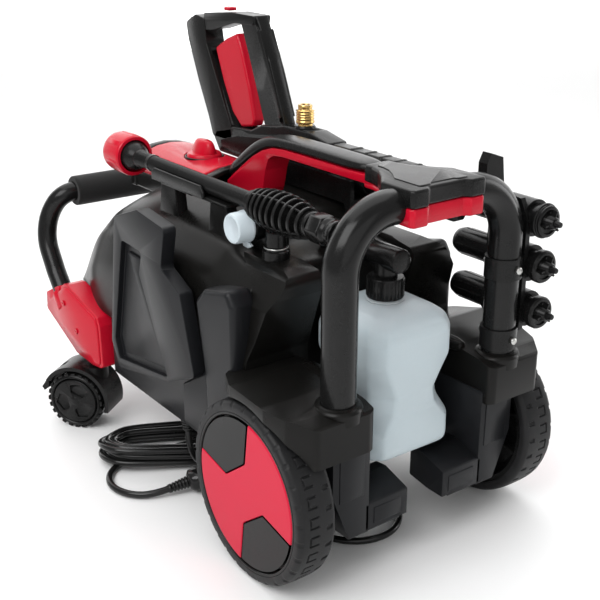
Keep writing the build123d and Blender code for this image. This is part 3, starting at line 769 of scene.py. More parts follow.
# motor cover: stations along the machine, each half a section from the seam up to the middle
coverShape = {"ridge": 0.72, "shoulder": 0.45, "slots": 7, "slotPitch": 14, "slotWide": 6}
coverStations = [
    (52, [(138, 163), (139, 214), (128, 262), (103, 286), (62, 291), (0, 292)]),
    (60, [(139, 163), (140, 218), (129, 267), (103, 291), (62, 297), (0, 298)]),
    (112, [(140, 163), (140, 224), (129, 272), (102, 297), (62, 300), (0, 301)]),
    (122, [(140, 163), (140, 228), (129, 276), (102, 302), (62, 316), (0, 322)]),
    (132, [(140, 163), (140, 230), (128, 278), (101, 304), (62, 323), (0, 331)]),
    (200, [(140, 163), (140, 232), (127, 279), (100, 305), (61, 324), (0, 331)]),
    (268, [(140, 163), (140, 232), (126, 279), (99, 304), (61, 324), (0, 331)]),
    (322, [(140, 163), (140, 230), (126, 276), (100, 300), (61, 321), (0, 330)]),
    (372, [(139, 163), (138, 222), (125, 264), (101, 288), (61, 305), (0, 314)]),
    (404, [(132, 163), (132, 210), (120, 247), (98, 268), (59, 285), (0, 292)]),
    (436, [(121, 163), (121, 192), (112, 222), (92, 240), (56, 251), (0, 256)]),
    (464, [(114, 163), (114, 178), (106, 196), (87, 207), (53, 215), (0, 218)]),
    (480, [(109, 163), (109, 171), (101, 180), (84, 187), (50, 191), (0, 193)]),
    (484.5, [(107, 163), (107, 168), (98, 173), (82, 176), (48, 178), (0, 178)])]


def coverRing(y, half):
    points = [(half[0][0] - 3, half[0][1])] + half[:1] + [(half[0][0], half[0][1] + 3)] + half[1:]
    left = [(-x, z) for x, z in reversed(points) if x > 0]
    return [(x, y, z) for x, z in points + left]


cover = loft("motor_cover_shell", [coverRing(y, half) for y, half in coverStations])
crease = cover.data.attributes.new("crease_edge", "FLOAT", "EDGE")
for edge in cover.data.edges:
    a, b = (cover.data.vertices[i].co for i in edge.vertices)
    along = abs(a.y - b.y) > 0.004
    ridge = along and 0.080 < abs(a.x) < 0.104 and a.z > 0.2
    shoulder = along and a.z > 0.19 and abs(a.x) > 0.1
    sharp = coverShape["ridge"] if ridge else coverShape["shoulder"] if shoulder else 0.0
    crease.data[edge.index].value = sharp
subdivide(cover, 3)
applied(cover)
slots = []
for k in range(coverShape["slots"]):
    start = -42 + coverShape["slotPitch"] * k
    slots.append(box("slot", start, start + coverShape["slotWide"], 458, 500, 168, 176))
cover = boolean(cover, slots)


# fender over the wheel, with the foot that the hoop tube stands in
hoopAt = (105.4, -64, 0)


def wheelFender():
    plan = [(76, 60), (76, -82), (84, -85.5), (146, -85.5), (164, -61), (171.2, -36), (171.2, 22),
        (156, 52), (132, 70)]
    block = prism("fender", plan, "z", 151.5, 230, 9, 6)
    over = prism("fender_top", [(-95, 262), (-95, 186), (-84, 193), (-66, 198), (-30, 202), (22, 205),
        (60, 200), (100, 188), (100, 262)], "x", 40, 190, 20, 6)
    arch = lathe("fender_arch", [(0.1, 123.0), (100.0, 123.0), (100.0, 190.0), (0.1, 190.0)],
        (0, 0, axleZ), "x", 96)
    room = box("fender_room", 70, 122.3, -76.3, 52, 140, 163.2)
    tube = lathe("fender_tube", [(17.3, 165.0), (17.3, 260.0), (0.1, 260.0), (0.1, 165.0)], hoopAt, "z", 48)
    boolean(block, [over, arch, room])
    lip = prism("fender_lip", [(72, 20), (72, -26), (76, -40), (84, -40), (88, -26), (88, 20)], "z", 196,
        206, 4)
    soften(lip, 3, 3)
    foot = lathe("tube_foot", [(17.2, 186), (23.0, 186), (23.4, 197), (22.2, 200.5), (19.0, 202),
        (17.2, 202)], hoopAt, "z", 48, closed=True)
    soften(block, 7.0, 6, 24)
    applied(block)
    boolean(block, [tube])
    return [block, foot, applied(lip)]


def columnBeside():
    section = [(60, 163), (138, 163), (137, 206), (130, 232), (125, 266), (103, 294), (92, 300), (60, 302)]
    column = prism("column", section, "y", 16, 126, 4, 4)
    side = [(127, 150), (127, 306), (74, 304), (26, 297), (19, 290), (22, 276), (44, 212), (44, 150)]
    boolean(column, [prism("column_side", side, "x", 50, 150, 6, 5)], "INTERSECT")
    return applied(soften(column, 6, 5, 22))


rightSide = join("right_side", wheelFender() + [columnBeside()])
leftSide = mirrorOf(rightSide, "left_side")
socket = lathe("elbow_socket", [(13.2, 45.5), (16.2, 45.5), (17.0, 46.3), (17.0, 58), (18.6, 60),
    (18.6, 82), (13.2, 82)], bottleShape["elbow"], "y", 48, closed=True)
motorCover = join("motor_cover", [cover, rightSide, leftSide, socket])
autoSmooth(motorCover, 38)
soften(motorCover, 0.9, 2, 42)
dress(motorCover, coverBlack, "housing_black", "upper_housing")
print("motor cover built")


# side covers: a thick frame round a sunk panel, standing off the housing
coverOutline = [(279, 309), (225, 329), (165, 322), (176, 276), (138, 259), (114, 172), (170, 147),
    (291, 120), (306, 150)]
sunkOutline = [(264, 285), (218, 283), (226, 256), (173, 152), (178, 150), (288, 133), (296, 156)]


def buildSideCover():
    frameRing = prism("side_cover_frame", coverOutline, "x", 139.9, 155.8, 7, 6)
    sunk = prism("sunk", sunkOutline, "x", 149.0, 170, 5, 5)
    boolean(frameRing, [sunk])
    soften(frameRing, 4.2, 5, 24)
    inner = drawnIn(sunkOutline, 0.86, (226, 200))
    panel = soften(prism("side_panel_raise", inner, "x", 148.0, 151.6, 5, 5), 1.6, 3)
    return join("side_cover", [frameRing, panel])


dressPair(autoSmooth(buildSideCover(), 30), "side_cover_far", tubGrey, "housing_grey",
    ("machine", "side_cover_right"), ("machine", "side_cover_left"))


# detergent bottle: faceted and waisted, with a ribbed cap and a hose elbow
bottleStages = [(108.6, 44, 45, 10), (113, 51.5, 52, 11), (120, 53.5, 54, 12), (141, 54, 54, 13),
    (160, 45.5, 51, 19), (176, 44, 50.2, 20), (192, 48.5, 52, 18), (212, 54, 54, 14), (238, 54, 54, 14),
    (250, 50, 51, 15), (259, 38, 41, 13), (263.5, 24, 25, 9)]


def bottleRing(z, wide, deep, cut):
    corners = [(wide, cut - deep), (wide, deep - cut), (wide - cut, deep), (cut - wide, deep),
        (-wide, deep - cut), (-wide, cut - deep), (cut - wide, -deep), (wide - cut, -deep)]
    return [(x, y + bottleAt[1], z) for x, y in corners]


bottleShell = loft("bottle_shell", [bottleRing(*stage) for stage in bottleStages])
soften(bottleShell, bottleShape["edge"], 4, 9)
neck = lathe("bottle_neck", [(0.5, 258), (20, 258), (20, 264.5), (17, 266.2), (0.5, 266.2)], bottleAt,
    "z", 48)
gauge = [soften(box("fill_mark", 53.2, 54.4, -8, 8 if k % 2 else 2, 126 + 16 * k, 126.9 + 16 * k), 0.2, 1)
    for k in (0, 6, 7)]
bottle = join("bottle_body", [bottleShell, neck] + gauge)
dress(bottle, bottleWhite, "bottle_white", "detergent_bottle", body="bottle", angle=40)
capProfile = [(15.3, 266.4), (18.6, 266.4), (19.0, 267.2), (19.0, 285.6), (18.0, 287.6), (12.6, 288.1),
    (8.1, 288.1), (8.1, 283), (15.3, 283)]
cap = lathe("bottle_cap_ring", capProfile, bottleAt, "z", 64, closed=True)
capRibs = []
for k in range(bottleShape["capRibs"]):
    rib = prism("cap_rib", [(18.4, -0.9), (19.5, -0.7), (19.5, 0.7), (18.4, 0.9)], "z", 268, 285.4)
    turn = Matrix.Rotation(2 * math.pi * k / bottleShape["capRibs"], 4, "Z")
    capRibs.append(moved(rib, carriedTo(bottleAt, turn)))
dress(join("bottle_cap_grip", [cap] + capRibs), satinBlack, "rim_black", "bottle_cap", body="bottle",
    angle=35)
elbowUp = lathe("elbow_up", [(0.5, 284), (11.0, 284), (12.4, 290), (12.4, 300), (11, 306), (0.5, 308)],
    bottleAt, "z", 40)
elbowAlong = lathe("elbow_along", [(0.5, -29.2), (9.5, -29.2), (11.8, -28.2), (12.6, -26), (12.6, 20),
    (11.2, 21), (11.2, 26), (12.6, 27), (12.6, 38), (10.5, 40), (10.5, 44), (0.5, 44)],
    bottleShape["elbow"], "y", 48)
elbowRib = soften(prism("elbow_rib", [(-16, 306), (14, 306), (10, 290), (-14, 290)], "x", -2.2, 2.2), 0.6, 2)
suction = lathe("suction_tube", [(0.5, 132.5), (3, 132.5), (3, 300), (0.5, 300)], bottleAt, "z", 20)
elbow = join("elbow", [elbowUp, elbowAlong, elbowRib, suction])
dress(elbow, satinBlack, "rim_black", "bottle_elbow", body="bottle", angle=35)
print("bottle built")


# carrying handle: a black grip over a red under shell, forked round the hoop at the rear
gripSections = [(8, 388.6, 399.6, 16), (60, 388.6, 400.3, 15.4), (110, 388.6, 400.3, 15.4),
    (156, 387.6, 400.2, 15.6), (182, 384.2, 398.4, 16), (204, 371.6, 391.5, 16), (226, 357.0, 377.6, 16),
    (248, 342.4, 361.2, 16), (266, 331.6, 348.2, 16)]


def archRing(y, low, high, half):
    tall = high - low
    side = [(half, y, low), (half, y, low + tall * 0.72 * 0.6), (half * 0.9, y, low + tall * 0.86),
        (half * 0.62, y, high)]
    return side + [(-x, y, z) for x, y, z in reversed(side)]


def buildGrip():
    barTop = loft("grip_bar", [archRing(*section) for section in gripSections])
    subdivide(barTop, 2)
    half = [(15.8, 14), (16.4, 2), (21, -13), (33, -31), (45.6, -46), (46.2, -87), (43.5, -90.8),
        (27, -90.8), (22, -85.5)]
    plan = half + [(-x, y) for x, y in reversed(half)]
    head = prism("grip_head", plan, "z", 382.2, 399.6, 3.5, 4)
    soften(head, 4.5, 5, 30)
    top = prism("grip_inset", [(x * 0.66, y * 0.8 - 10) for x, y in plan], "z", 398.8, 400.6, 3, 4)
    soften(top, 0.8, 2, 30)
    return barTop, head, top


dress(join("grip_black", list(buildGrip())), satinBlack, "handle_black", "handle_top_shell", angle=34)

underSide = [(4, 380.6), (150, 380.6), (168, 378.8), (178, 373), (184, 360), (190, 336), (194, 328),
    (268, 327), (262, 333), (246, 345), (228, 358), (208, 371.5), (190, 380.8), (172, 386.6),
    (150, 388.6), (4, 388.6)]
underBar = prism("under_bar", underSide, "x", -15.2, 15.2, 3, 4)
soften(underBar, 2.6, 4, 26)
half = [(14.5, 16), (15.4, 0), (19, -13), (30, -29), (44.6, -46), (45.6, -86), (43, -90.4), (27, -90.4),
    (22, -84.8)]
underHead = prism("under_head", half + [(-x, y) for x, y in reversed(half)], "z", 364.2, 382, 3.5, 4)
boolean(underHead, [box("under_room", -26, 26, -62, 30, 350, 376)])
soften(underHead, 2.4, 4, 30)
dress(join("grip_red", [underBar, underHead]), shellRed, "red_plastic", "handle_under_shell", angle=34)
print("carrying handle built")


# control head: a dark arch, its red saddle, and the turning knob
headShape = {"knob": (0, 338, 0), "half": 49.0}
headSide = [(-49, 296), (-49, 318), (-46, 329), (-37, 338.5), (-18, 344.2), (0, 346)]
headArch = headSide + [(-x, z) for x, z in reversed(headSide[:-1])]


def archPiece(name, y0, y1, grow, low, radius):
    outline = [(x * (1 + grow / headShape["half"]), z + grow if z > low else low) for x, z in headArch]
    piece = prism(name, outline, "y", y0, y1)
    return soften(piece, radius, 4, 24)


dress(join("control_arch", [archPiece("arch_main", 262, 440, 0, 296, 3.5),
    archPiece("arch_front", 427, 441, 1.2, 296, 2.2), archPiece("arch_rear", 262, 275, 1.2, 296, 2.2)]),
    coverBlack, "housing_black", "control_head", angle=34)
saddle = archPiece("saddle", 276.5, 424.5, 1.8, 318, 3.0)
dish = lathe("knob_dish", [(0.1, 343.2), (24.5, 343.2), (27.5, 352), (0.1, 352)], headShape["knob"], "z", 64)
boolean(applied(saddle), [dish])
ring = lathe("knob_ring", [(22.4, 343.0), (24.2, 343.0), (24.2, 345.6), (23.4, 346.4), (22.4, 346.0)],
    headShape["knob"], "z", 64, closed=True)
saddleWhole = join("saddle_red", [saddle])
autoSmooth(saddleWhole, 30)
soften(saddleWhole, 0.8, 2, 40)
dress(saddleWhole, shellRed, "red_plastic", "switch_cover")
dress(ring, satinBlack, "rim_black")
knobSkirt = lathe("knob_skirt", [(0.1, 343.5), (19.6, 343.5), (21.6, 345), (21.2, 348.4), (19.6, 350),
    (0.1, 350.4)], headShape["knob"], "z", 64)
knobRings = [(346, 13.5, 20.5, 0), (351, 11.5, 20.5, 0), (357, 9.6, 19.5, 0), (363.4, 7.2, 17, -1),
    (366.4, 4.0, 12.5, -1)]


def knobRing(z, wide, long, shift):
    ring = []
    for k in range(24):
        a = 2 * math.pi * k / 24
        x = wide * math.copysign(abs(math.cos(a)) ** 0.8, math.cos(a))
        ring.append((x, headShape["knob"][1] + shift + long * math.sin(a), z))
    return ring


knobGrip = loft("knob_grip", [knobRing(*ring) for ring in knobRings])
subdivide(knobGrip, 1)
knob = join("knob_red", [knobSkirt, knobGrip])
dress(knob, shellRed, "red_plastic", "switch_knob", body="knob", angle=40)
print("control head built")


# lower housing: the tub, its raised flank panels, the wheel legs and the cord hooks
def buildTub():
    side = [(52, 168), (52, 108), (66, 93), (372, 93), (430, 105), (484, 134), (484, 168)]
    tub = prism("tub", side, "x", -140, 140, 4, 4)
    plan = [(-139.8, 53), (139.8, 53), (139.8, 338), (122, 356), (121.6, 452), (108, 484), (-108, 484),
        (-121.6, 452), (-122, 356), (-139.8, 338)]
    boolean(tub, [prism("tub_plan", plan, "z", 60, 200, 5, 4)], "INTERSECT")
    seam = prism("seam", [(-150, 52.5), (150, 52.5), (150, 500), (-150, 500)], "z", 162.0, 163.6)
    keepIn = prism("seam_in", [(x * 0.985, y) for x, y in plan], "z", 150, 190)
    boolean(seam, [keepIn])
    boolean(tub, [seam])
    return soften(tub, 2.2, 3, 30)


def buildLeg():
    side = [(-76, 54), (-26, 54), (6, 66), (30, 84), (50, 98), (50, 164), (-76, 164)]
    leg = prism("leg", side, "x", 75, 120, 3, 3)
    slope = [(75, 50), (97, 50), (120, 108), (120, 170), (75, 170)]
    boolean(leg, [prism("leg_slope", slope, "y", -90, 60)], "INTERSECT")
    soften(leg, 3.5, 4, 24)
    hook = prism("hook", [(-76, 55), (-26, 62), (-26, 95), (-42, 97), (-76, 87)], "x", 24.5, 78, 2.5, 3)
    boolean(hook, [box("hook_side", 10, 34, -90, 0, 30, 58)])
    soften(hook, 3.0, 4, 24)
    face = soften(prism("hook_face", [(-76.8, 62), (-73, 62), (-73, 82), (-76.8, 80)], "x", 33, 68, 1),
        0.8, 2)
    plate = soften(prism("leg_plate", [(-77.0, 100), (-74, 98), (-74, 148), (-77.0, 148)], "x", 82, 112,
        1), 0.8, 2)
    boss = lathe("axle_boss", [(5.1, 92), (17, 92), (17, 119), (15, 121), (5.1, 121)], (0, 0, axleZ), "x",
        48, closed=True)
    return [leg, hook, face, plate, boss]


def buildFlank():
    outline = [(48, 104), (50, 268), (60, 283), (106, 272), (122, 256), (108, 176), (104, 104)]
    panel = prism("flank", outline, "x", 118, 148, 9, 6)
    soften(panel, 7, 6, 24)
    lower = soften(prism("flank_foot", [(44, 98), (46, 170), (108, 180), (160, 146), (160, 98)], "x", 120,
        145, 5), 4, 4)
    return [panel, lower]


sideParts = join("lower_side", buildLeg() + buildFlank())
otherParts = mirrorOf(sideParts, "lower_side_far")
shelf = soften(prism("bottle_shelf", [(-24, 101), (55, 101), (55, 108.2), (-24, 108.2)], "x", -75, 75),
    1.2, 2)
dress(join("lower_shell", [buildTub(), sideParts, otherParts, shelf]), tubGrey, "housing_grey",
    "lower_housing", angle=32)
print("lower housing built")


# trigger gun, stored grip up: the grip in front, the guard behind it, the body along the barrel
gunShape = {"x": 68.0, "inlet": 222.0, "grooves": 6, "barrelRibs": 7, "hinge": (333, 372),
    "pulls": (0, 4, 8.5)}
gunX = gunShape["x"]
inletAt = (gunX, gunShape["inlet"], 0)


def gunSlice(name, outline, half, radius, edge):
    piece = prism(name, outline, "x", gunX - half, gunX + half, radius, 5)
    return soften(piece, edge, 4, 24)


# a finger groove across the front of the grip
def gripGroove(y, z):
    turns = [math.pi * s / 12 - math.pi / 2 for s in range(13)]
    line = [Vector((gunX + 15 * math.sin(a), y + 4.5 * math.cos(a) + 5, z + 2.2 * math.cos(a)))
        for a in turns]
    return bar("groove", line, 1.6, 12)


def buildGun():
    gripShape = [(464, 492), (459, 470), (437, 420), (415, 377), (405, 352), (358, 352), (362, 372),
        (391, 424), (415, 469), (421, 500), (440, 503)]
    handle = gunSlice("gun_grip", gripShape, 13.9, 7, 5.5)
    shares = [k / (gunShape["grooves"] - 1) for k in range(gunShape["grooves"])]
    boolean(applied(handle), [gripGroove(448 - 34 * t, 452 - 74 * t) for t in shares])
    crown = gunSlice("gun_crown", [(421, 496), (440, 500), (464, 492), (462, 484), (438, 484), (400, 487),
        (352, 499), (310, 500), (308, 510.6), (356, 511.4), (421, 506)], 12.5, 3, 3)
    guard = gunSlice("gun_guard", [(308, 511), (282, 462), (252, 391), (252, 372), (292, 372), (294, 383),
        (324, 457), (343, 500), (340, 508)], 8.5, 3, 3.2)
    rib = gunSlice("gun_rib", [(300, 496), (276, 446), (256, 398), (262, 396), (284, 446), (306, 492)],
        10.4, 1.5, 1.4)
    frameBlock = gunSlice("gun_frame", [(160, 340), (340, 333), (391, 334), (404, 352), (398, 362),
        (356, 372), (318, 374), (294, 384), (262, 388), (248, 391), (196, 391), (160, 384)], 13.9, 4, 3.5)
    panel = gunSlice("gun_panel", [(200, 346), (330, 341), (382, 342), (388, 350), (346, 362), (280, 370),
        (204, 372)], 14.9, 4, 1.4)
    boss = lathe("gun_boss", [(0.1, 54.5), (6.4, 54.5), (7.2, 55.4), (7.2, 80.6), (6.4, 81.5),
        (0.1, 81.5)], (0, 449, 492), "x", 36)
    neck = lathe("gun_neck", [(0.5, 384), (12.6, 384), (12.6, 392), (11.2, 394), (0.5, 394)], inletAt,
        "z", 40)
    whole = join("gun_shell", [handle, crown, guard, rib, frameBlock, panel, boss, neck])
    roomOutline = [(408, 469), (390, 424), (368, 372), (356, 362), (318, 366), (312, 384), (346, 494)]
    rooms = []
    for pull in gunShape["pulls"]:
        room = prism("trigger_room", roomOutline, "x", gunX - 9, gunX + 9)
        rooms.append(moved(room, turnAbout((gunX, *gunShape["hinge"]), "X", -pull)))
    boolean(whole, rooms, crossing=True)
    return autoSmooth(whole, 34)


dress(buildGun(), satinBlack, "handle_black", "gun_body", body="gun")
trigger = prism("trigger_blade", [(403, 465), (378, 478), (352, 487), (343, 470), (326, 424), (316, 385),
    (320, 377), (346, 372), (366, 388), (386, 424)], "x", gunX - 8.4, gunX + 8.4, 5, 5)
soften(trigger, 3.6, 5, 24)
dress(trigger, shellRed, "red_plastic", "gun_trigger", body="trigger")
dress(join("lock_button", [soften(box("lock_bar", gunX - 5.8, gunX + 5.8, 372, 384, 511.5, 515.6), 1.2,
    3), soften(box("lock_ridge", gunX - 1, gunX + 1, 373, 383, 514, 516), 0.4, 2)]), shellRed,
    "red_plastic", "trigger_lock", body="lock")
barrelSide = [(12.8, 348), (12.8, 374), (7, 383.6)]
barrelRing = [(gunX - x, z) for x, z in barrelSide] + [(gunX + x, z) for x, z in reversed(barrelSide)]
barrelRing += [(gunX + 7, 339.4), (gunX - 7, 339.4)]
barrelParts = [soften(prism("barrel", barrelRing, "y", -35.5, 159.4, 2, 3), 2.2, 3, 30)]
for k in range(gunShape["barrelRibs"]):
    grown = [(gunX + (x - gunX) * 1.045, 361.5 + (z - 361.5) * 1.03) for x, z in barrelRing]
    barrelParts.append(soften(prism("barrel_rib", grown, "y", -20 + 24 * k, -15 + 24 * k, 2, 3), 0.8, 2, 30))
barrelParts.append(lathe("barrel_tip", [(3.1, -44), (8.4, -44), (9, -43.2), (9, -30), (3.1, -30)],
    (gunX, 0, 361), "y", 40, closed=True))
dress(join("barrel_cover", barrelParts), satinBlack, "handle_black", "gun_barrel_cover", body="gun",
    angle=34)


def brassInlet():
    profile = [(5.1, 386), (7.8, 386), (7.8, 396.2), (10.4, 396.6), (10.9, 397.6)]
    for k in range(4):
        profile += [(10.9, 399.2 + 3 * k), (10.0, 400.0 + 3 * k), (10.0, 401.0 + 3 * k),
            (10.9, 401.8 + 3 * k)]
    profile += [(10.6, 411.6), (8.4, 412.0), (8.0, 413.4), (8.4, 414.6), (8.4, 417.2), (7.8, 418),
        (5.6, 418), (5.1, 417)]
    body = lathe("inlet_thread", profile, inletAt, "z", 64, closed=True)
    nut = soften(prism("inlet_nut", hexagon((gunX, inletAt[1]), 9.4), "z", 391.5, 396.4), 0.6, 2, 30)
    return autoSmooth(join("brass_inlet", [body, nut]), 40)


dress(brassInlet(), brassMetal, "brass", "gun_inlet", body="gun")
print("gun built")


# spray lance in its trough: tube, collar, caged grip, nut and coupling
lanceShape = {"x": -90.0, "z": 355.5, "rings": 9, "bars": 4, "ringGap": 10.2, "pads": 6}
lanceX, lanceZ = lanceShape["x"], lanceShape["z"]
lanceAt = (lanceX, 0, lanceZ)


def buildLance():
    tube = lathe("lance_pipe", [(3, -40), (8.6, -40), (9, -39.4), (9, 326), (10.4, 328), (10.4, 334),
        (13.5, 338), (17.6, 346.5), (17.8, 352), (9, 353), (9, 383.6), (3, 384)], lanceAt, "y", 56,
        closed=True)
    band = lathe("lance_band", [(8.9, 300), (9.9, 300.4), (9.9, 305.6), (8.9, 306)], lanceAt, "y", 56,
        closed=True)
    return autoSmooth(join("lance_pipe_whole", [tube, band]), 35)


dress(buildLance(), satinBlack, "handle_black", "lance_tube", body="lance")


def cageRadius(y):
    return 21.2 - 6.4 * ((y - 46) / 46) ** 2


def buildCage():
    parts = [lathe("cage_core", [(9.1, -6), (12.6, -6), (13.2, -4), (13.2, 1), (11.6, 3), (11.6, 88),
        (12.6, 90), (12.6, 97), (11, 99), (9.1, 99)], lanceAt, "y", 48, closed=True)]
    for k in range(lanceShape["rings"]):
        y = 4 + lanceShape["ringGap"] * k
        r = cageRadius(y)
        ring = [(11.4, y - 1.4), (r - 1, y - 1.9), (r, y - 1.1), (r, y + 1.1), (r - 1, y + 1.9),
            (11.4, y + 1.4)]
        parts.append(lathe("cage_ring", ring, lanceAt, "y", 56, closed=True))
    for k in range(lanceShape["bars"]):
        a = 2 * math.pi * k / lanceShape["bars"] + 0.6
        line = [Vector((lanceX + (cageRadius(y) - 1.6) * math.cos(a), y,
            lanceZ + (cageRadius(y) - 1.6) * math.sin(a))) for y in [2 + 7 * s for s in range(13)]]
        parts.append(bar("cage_bar", line, 1.1, 10))
    parts.append(soften(prism("lance_nut", hexagon((lanceX, lanceZ), 15), "y", -26, -8), 1.2, 3, 30))
    coupling = [(9.1, -42), (12.2, -42), (13, -41), (13, -36), (11.8, -35), (11.8, -31), (13, -30),
        (13, -26), (9.1, -26)]
    parts.append(lathe("lance_coupling", coupling, lanceAt, "y", 48, closed=True))
    for x in (-1, 1):
        parts.append(soften(box("bayonet_lug", lanceX + x * 12 - 2.4, lanceX + x * 12 + 2.4, -41, -36,
            lanceZ - 2.4, lanceZ + 2.4), 0.6, 2))
    return autoSmooth(join("lance_cage", parts), 35)


dress(buildCage(), satinBlack, "handle_black", "lance_grip", body="lance")
collarProfile = [(19.2, 347.2), (22.4, 347.2), (23.8, 348.6), (24, 351), (24, 380), (23.2, 385),
    (20.5, 387.6), (12, 388), (9.1, 388), (9.1, 384.5), (17, 382), (19.2, 372)]
collarParts = [lathe("collar_ring", collarProfile, lanceAt, "y", 72, closed=True)]
for k in range(lanceShape["pads"]):
    a = 2 * math.pi * k / lanceShape["pads"] + 0.3
    pad = around((lanceX, lanceZ), 23.6, (a - 0.17, a + 0.17)) + around((lanceX, lanceZ), 24.6,
        (a + 0.13, a - 0.13))
    collarParts.append(soften(prism("collar_pad", pad, "y", 352, 381), 0.5, 2, 30))
collar = join("collar_red", collarParts)
dress(collar, shellRed, "red_plastic", "lance_collar", body="collar", angle=35)


def buildTrough():
    floorPlate = box("trough_floor", lanceX - 10, lanceX + 10, 132, 284, 341.4, 344.6)
    near = prism("trough_near", [(172, 343), (284, 343), (284, 352), (278, 357), (178, 357), (172, 350)],
        "x", lanceX - 13.6, lanceX - 10.4, 2)
    far = prism("trough_far", [(132, 343), (238, 343), (238, 351), (232, 357), (138, 357), (132, 350)],
        "x", lanceX + 10.4, lanceX + 13.6, 2)
    pads = [box("trough_pad", lanceX - 13.4, lanceX - 9.4, 196, 262, 341.6, 346),
        box("trough_pad", lanceX + 9.4, lanceX + 13.4, 150, 214, 341.6, 346)]
    posts = [prism("trough_post", [(y - 22, 296), (y + 22, 296), (y + 15, 343), (y - 15, 343)], "x",
        lanceX - 5, lanceX + 9, 3) for y in (156, 262)]
    parts = [soften(part, 1.1, 3, 30) for part in [floorPlate, near, far] + pads + posts]
    return autoSmooth(join("lance_trough", parts), 34)


dress(buildTrough(), satinBlack, "rim_black", "lance_clips")
print("lance built")


# spray nozzles on the rack
nozzleShape = {"x": 141.5, "heights": (338.0, 290.0, 240.0), "ribs": 12, "fins": 3}
rackX = nozzleShape["x"]


def buildNozzle(z, index):
    face = [(0.1, -88), (4.0, -88), (4.0, -98), (2.8, -102.6), (0.1, -103)]
    stem = lathe("nozzle_stem", face, (rackX, 0, z), "y", 28)
    bell = [(1.2, 36), (9, 36), (12.5, 33), (14.9, 26), (14.9, -60), (13.4, -62), (13.4, -66),
        (14.9, -68), (14.9, -79), (17.2, -80.4)]
    if index == 0:
        bell += [(18.2, -81.2), (18.2, -83), (17, -83.6), (17, -85), (16.2, -85.6), (16.2, -87.4),
            (14.5, -88.2)]
    else:
        bell += [(17.3, -81.4), (17.3, -86), (16, -87.8), (14.5, -88.2)]
    bell += [(12.8, -88.2), (12.0, -86.4), (8.4, -86.0), (7.4, -87.6), (6.2, -95.4), (5.2, -96.6),
        (1.2, -96.8)]
    body = lathe("nozzle_bell", bell, (rackX, 0, z), "y", 64, closed=True)
    parts = [stem, body]
    for k in range(nozzleShape["ribs"]):
        rib = prism("nozzle_rib", [(rackX - 1, z + 14.4), (rackX + 1, z + 14.4), (rackX + 0.7, z + 15.3),
            (rackX - 0.7, z + 15.3)], "y", -56 if k % 3 else -76, 24)
        parts.append(moved(rib, turnAbout((rackX, 0, z), "Y", 360 * k / nozzleShape["ribs"])))
    for k in range(nozzleShape["fins"]):
        fin = box("nozzle_fin", rackX - 0.9, rackX + 0.9, -94, -87, z + 4, z + 12)
        parts.append(moved(fin, turnAbout((rackX, 0, z), "Y", 360 * k / nozzleShape["fins"] + 20)))
    return autoSmooth(join("spray_nozzle_" + str(index + 1), parts), 35)


for index, z in enumerate(nozzleShape["heights"]):
    dress(buildNozzle(z, index), satinBlack, "handle_black", "nozzle_" + str(index + 1),
        body="spray_" + str(index + 1))
for z in (217, 293):
    for y in (-84.6, -41.4):
        screw = lathe("clamp_screw", [(0.1, -2.2), (3.4, -2.2), (3.8, -1.2), (3.8, 1.6), (0.1, 1.6)],
            (hoopAt[0], y, z), "y", 24)
        dress(screw, steelMetal, "steel")


# front brackets, handle grip and casters
bracketOutline = [(514, 126), (508, 140), (450, 177), (440, 178.4), (355, 161), (350, 150), (348.5, 97),
    (356, 92), (380, 88.5), (420, 88.5)]


def buildBracket():
    plate = prism("bracket_plate", bracketOutline, "x", 124, 150.5, 3, 4)
    soften(plate, 3.6, 4, 24)
    raised = drawnIn(bracketOutline, 0.93, (415, 128))
    facet = soften(prism("bracket_facet", raised, "x", 149, 153, 4), 1.8, 3, 24)
    pipe = bar("bracket_sleeve", [Vector((140, 462, 140)), Vector((140, 470, 150)),
        Vector((140, 477, 158))], 15.0, 32)
    wedge = soften(prism("bracket_wedge", [(470, 128), (508, 132), (506, 150), (462, 172)], "x", 124.4,
        152, 4), 3, 3)
    return autoSmooth(join("bracket_whole", [plate, facet, soften(pipe, 1.2, 3, 40), wedge]), 32)


dressPair(buildBracket(), "bracket_whole_far", shellRed, "red_plastic",
    ("machine", "front_bracket_right"), ("machine", "front_bracket_left"))
sleeveProfile = [(12.6, -102), (18.2, -102), (19.3, -100.6), (19.5, -97), (19.5, 97), (19.3, 100.6),
    (18.2, 102), (12.6, 102)]
dress(lathe("foam_grip", sleeveProfile, (0, 505, 281), "x", 64, closed=True), foamBlack, "foam",
    "foam_sleeve", angle=40)


casterShape = {"place": (-142, 392, 0), "heading": 38.0, "wheel": (0, 20, 38), "pockets": 3, "lugs": 24}


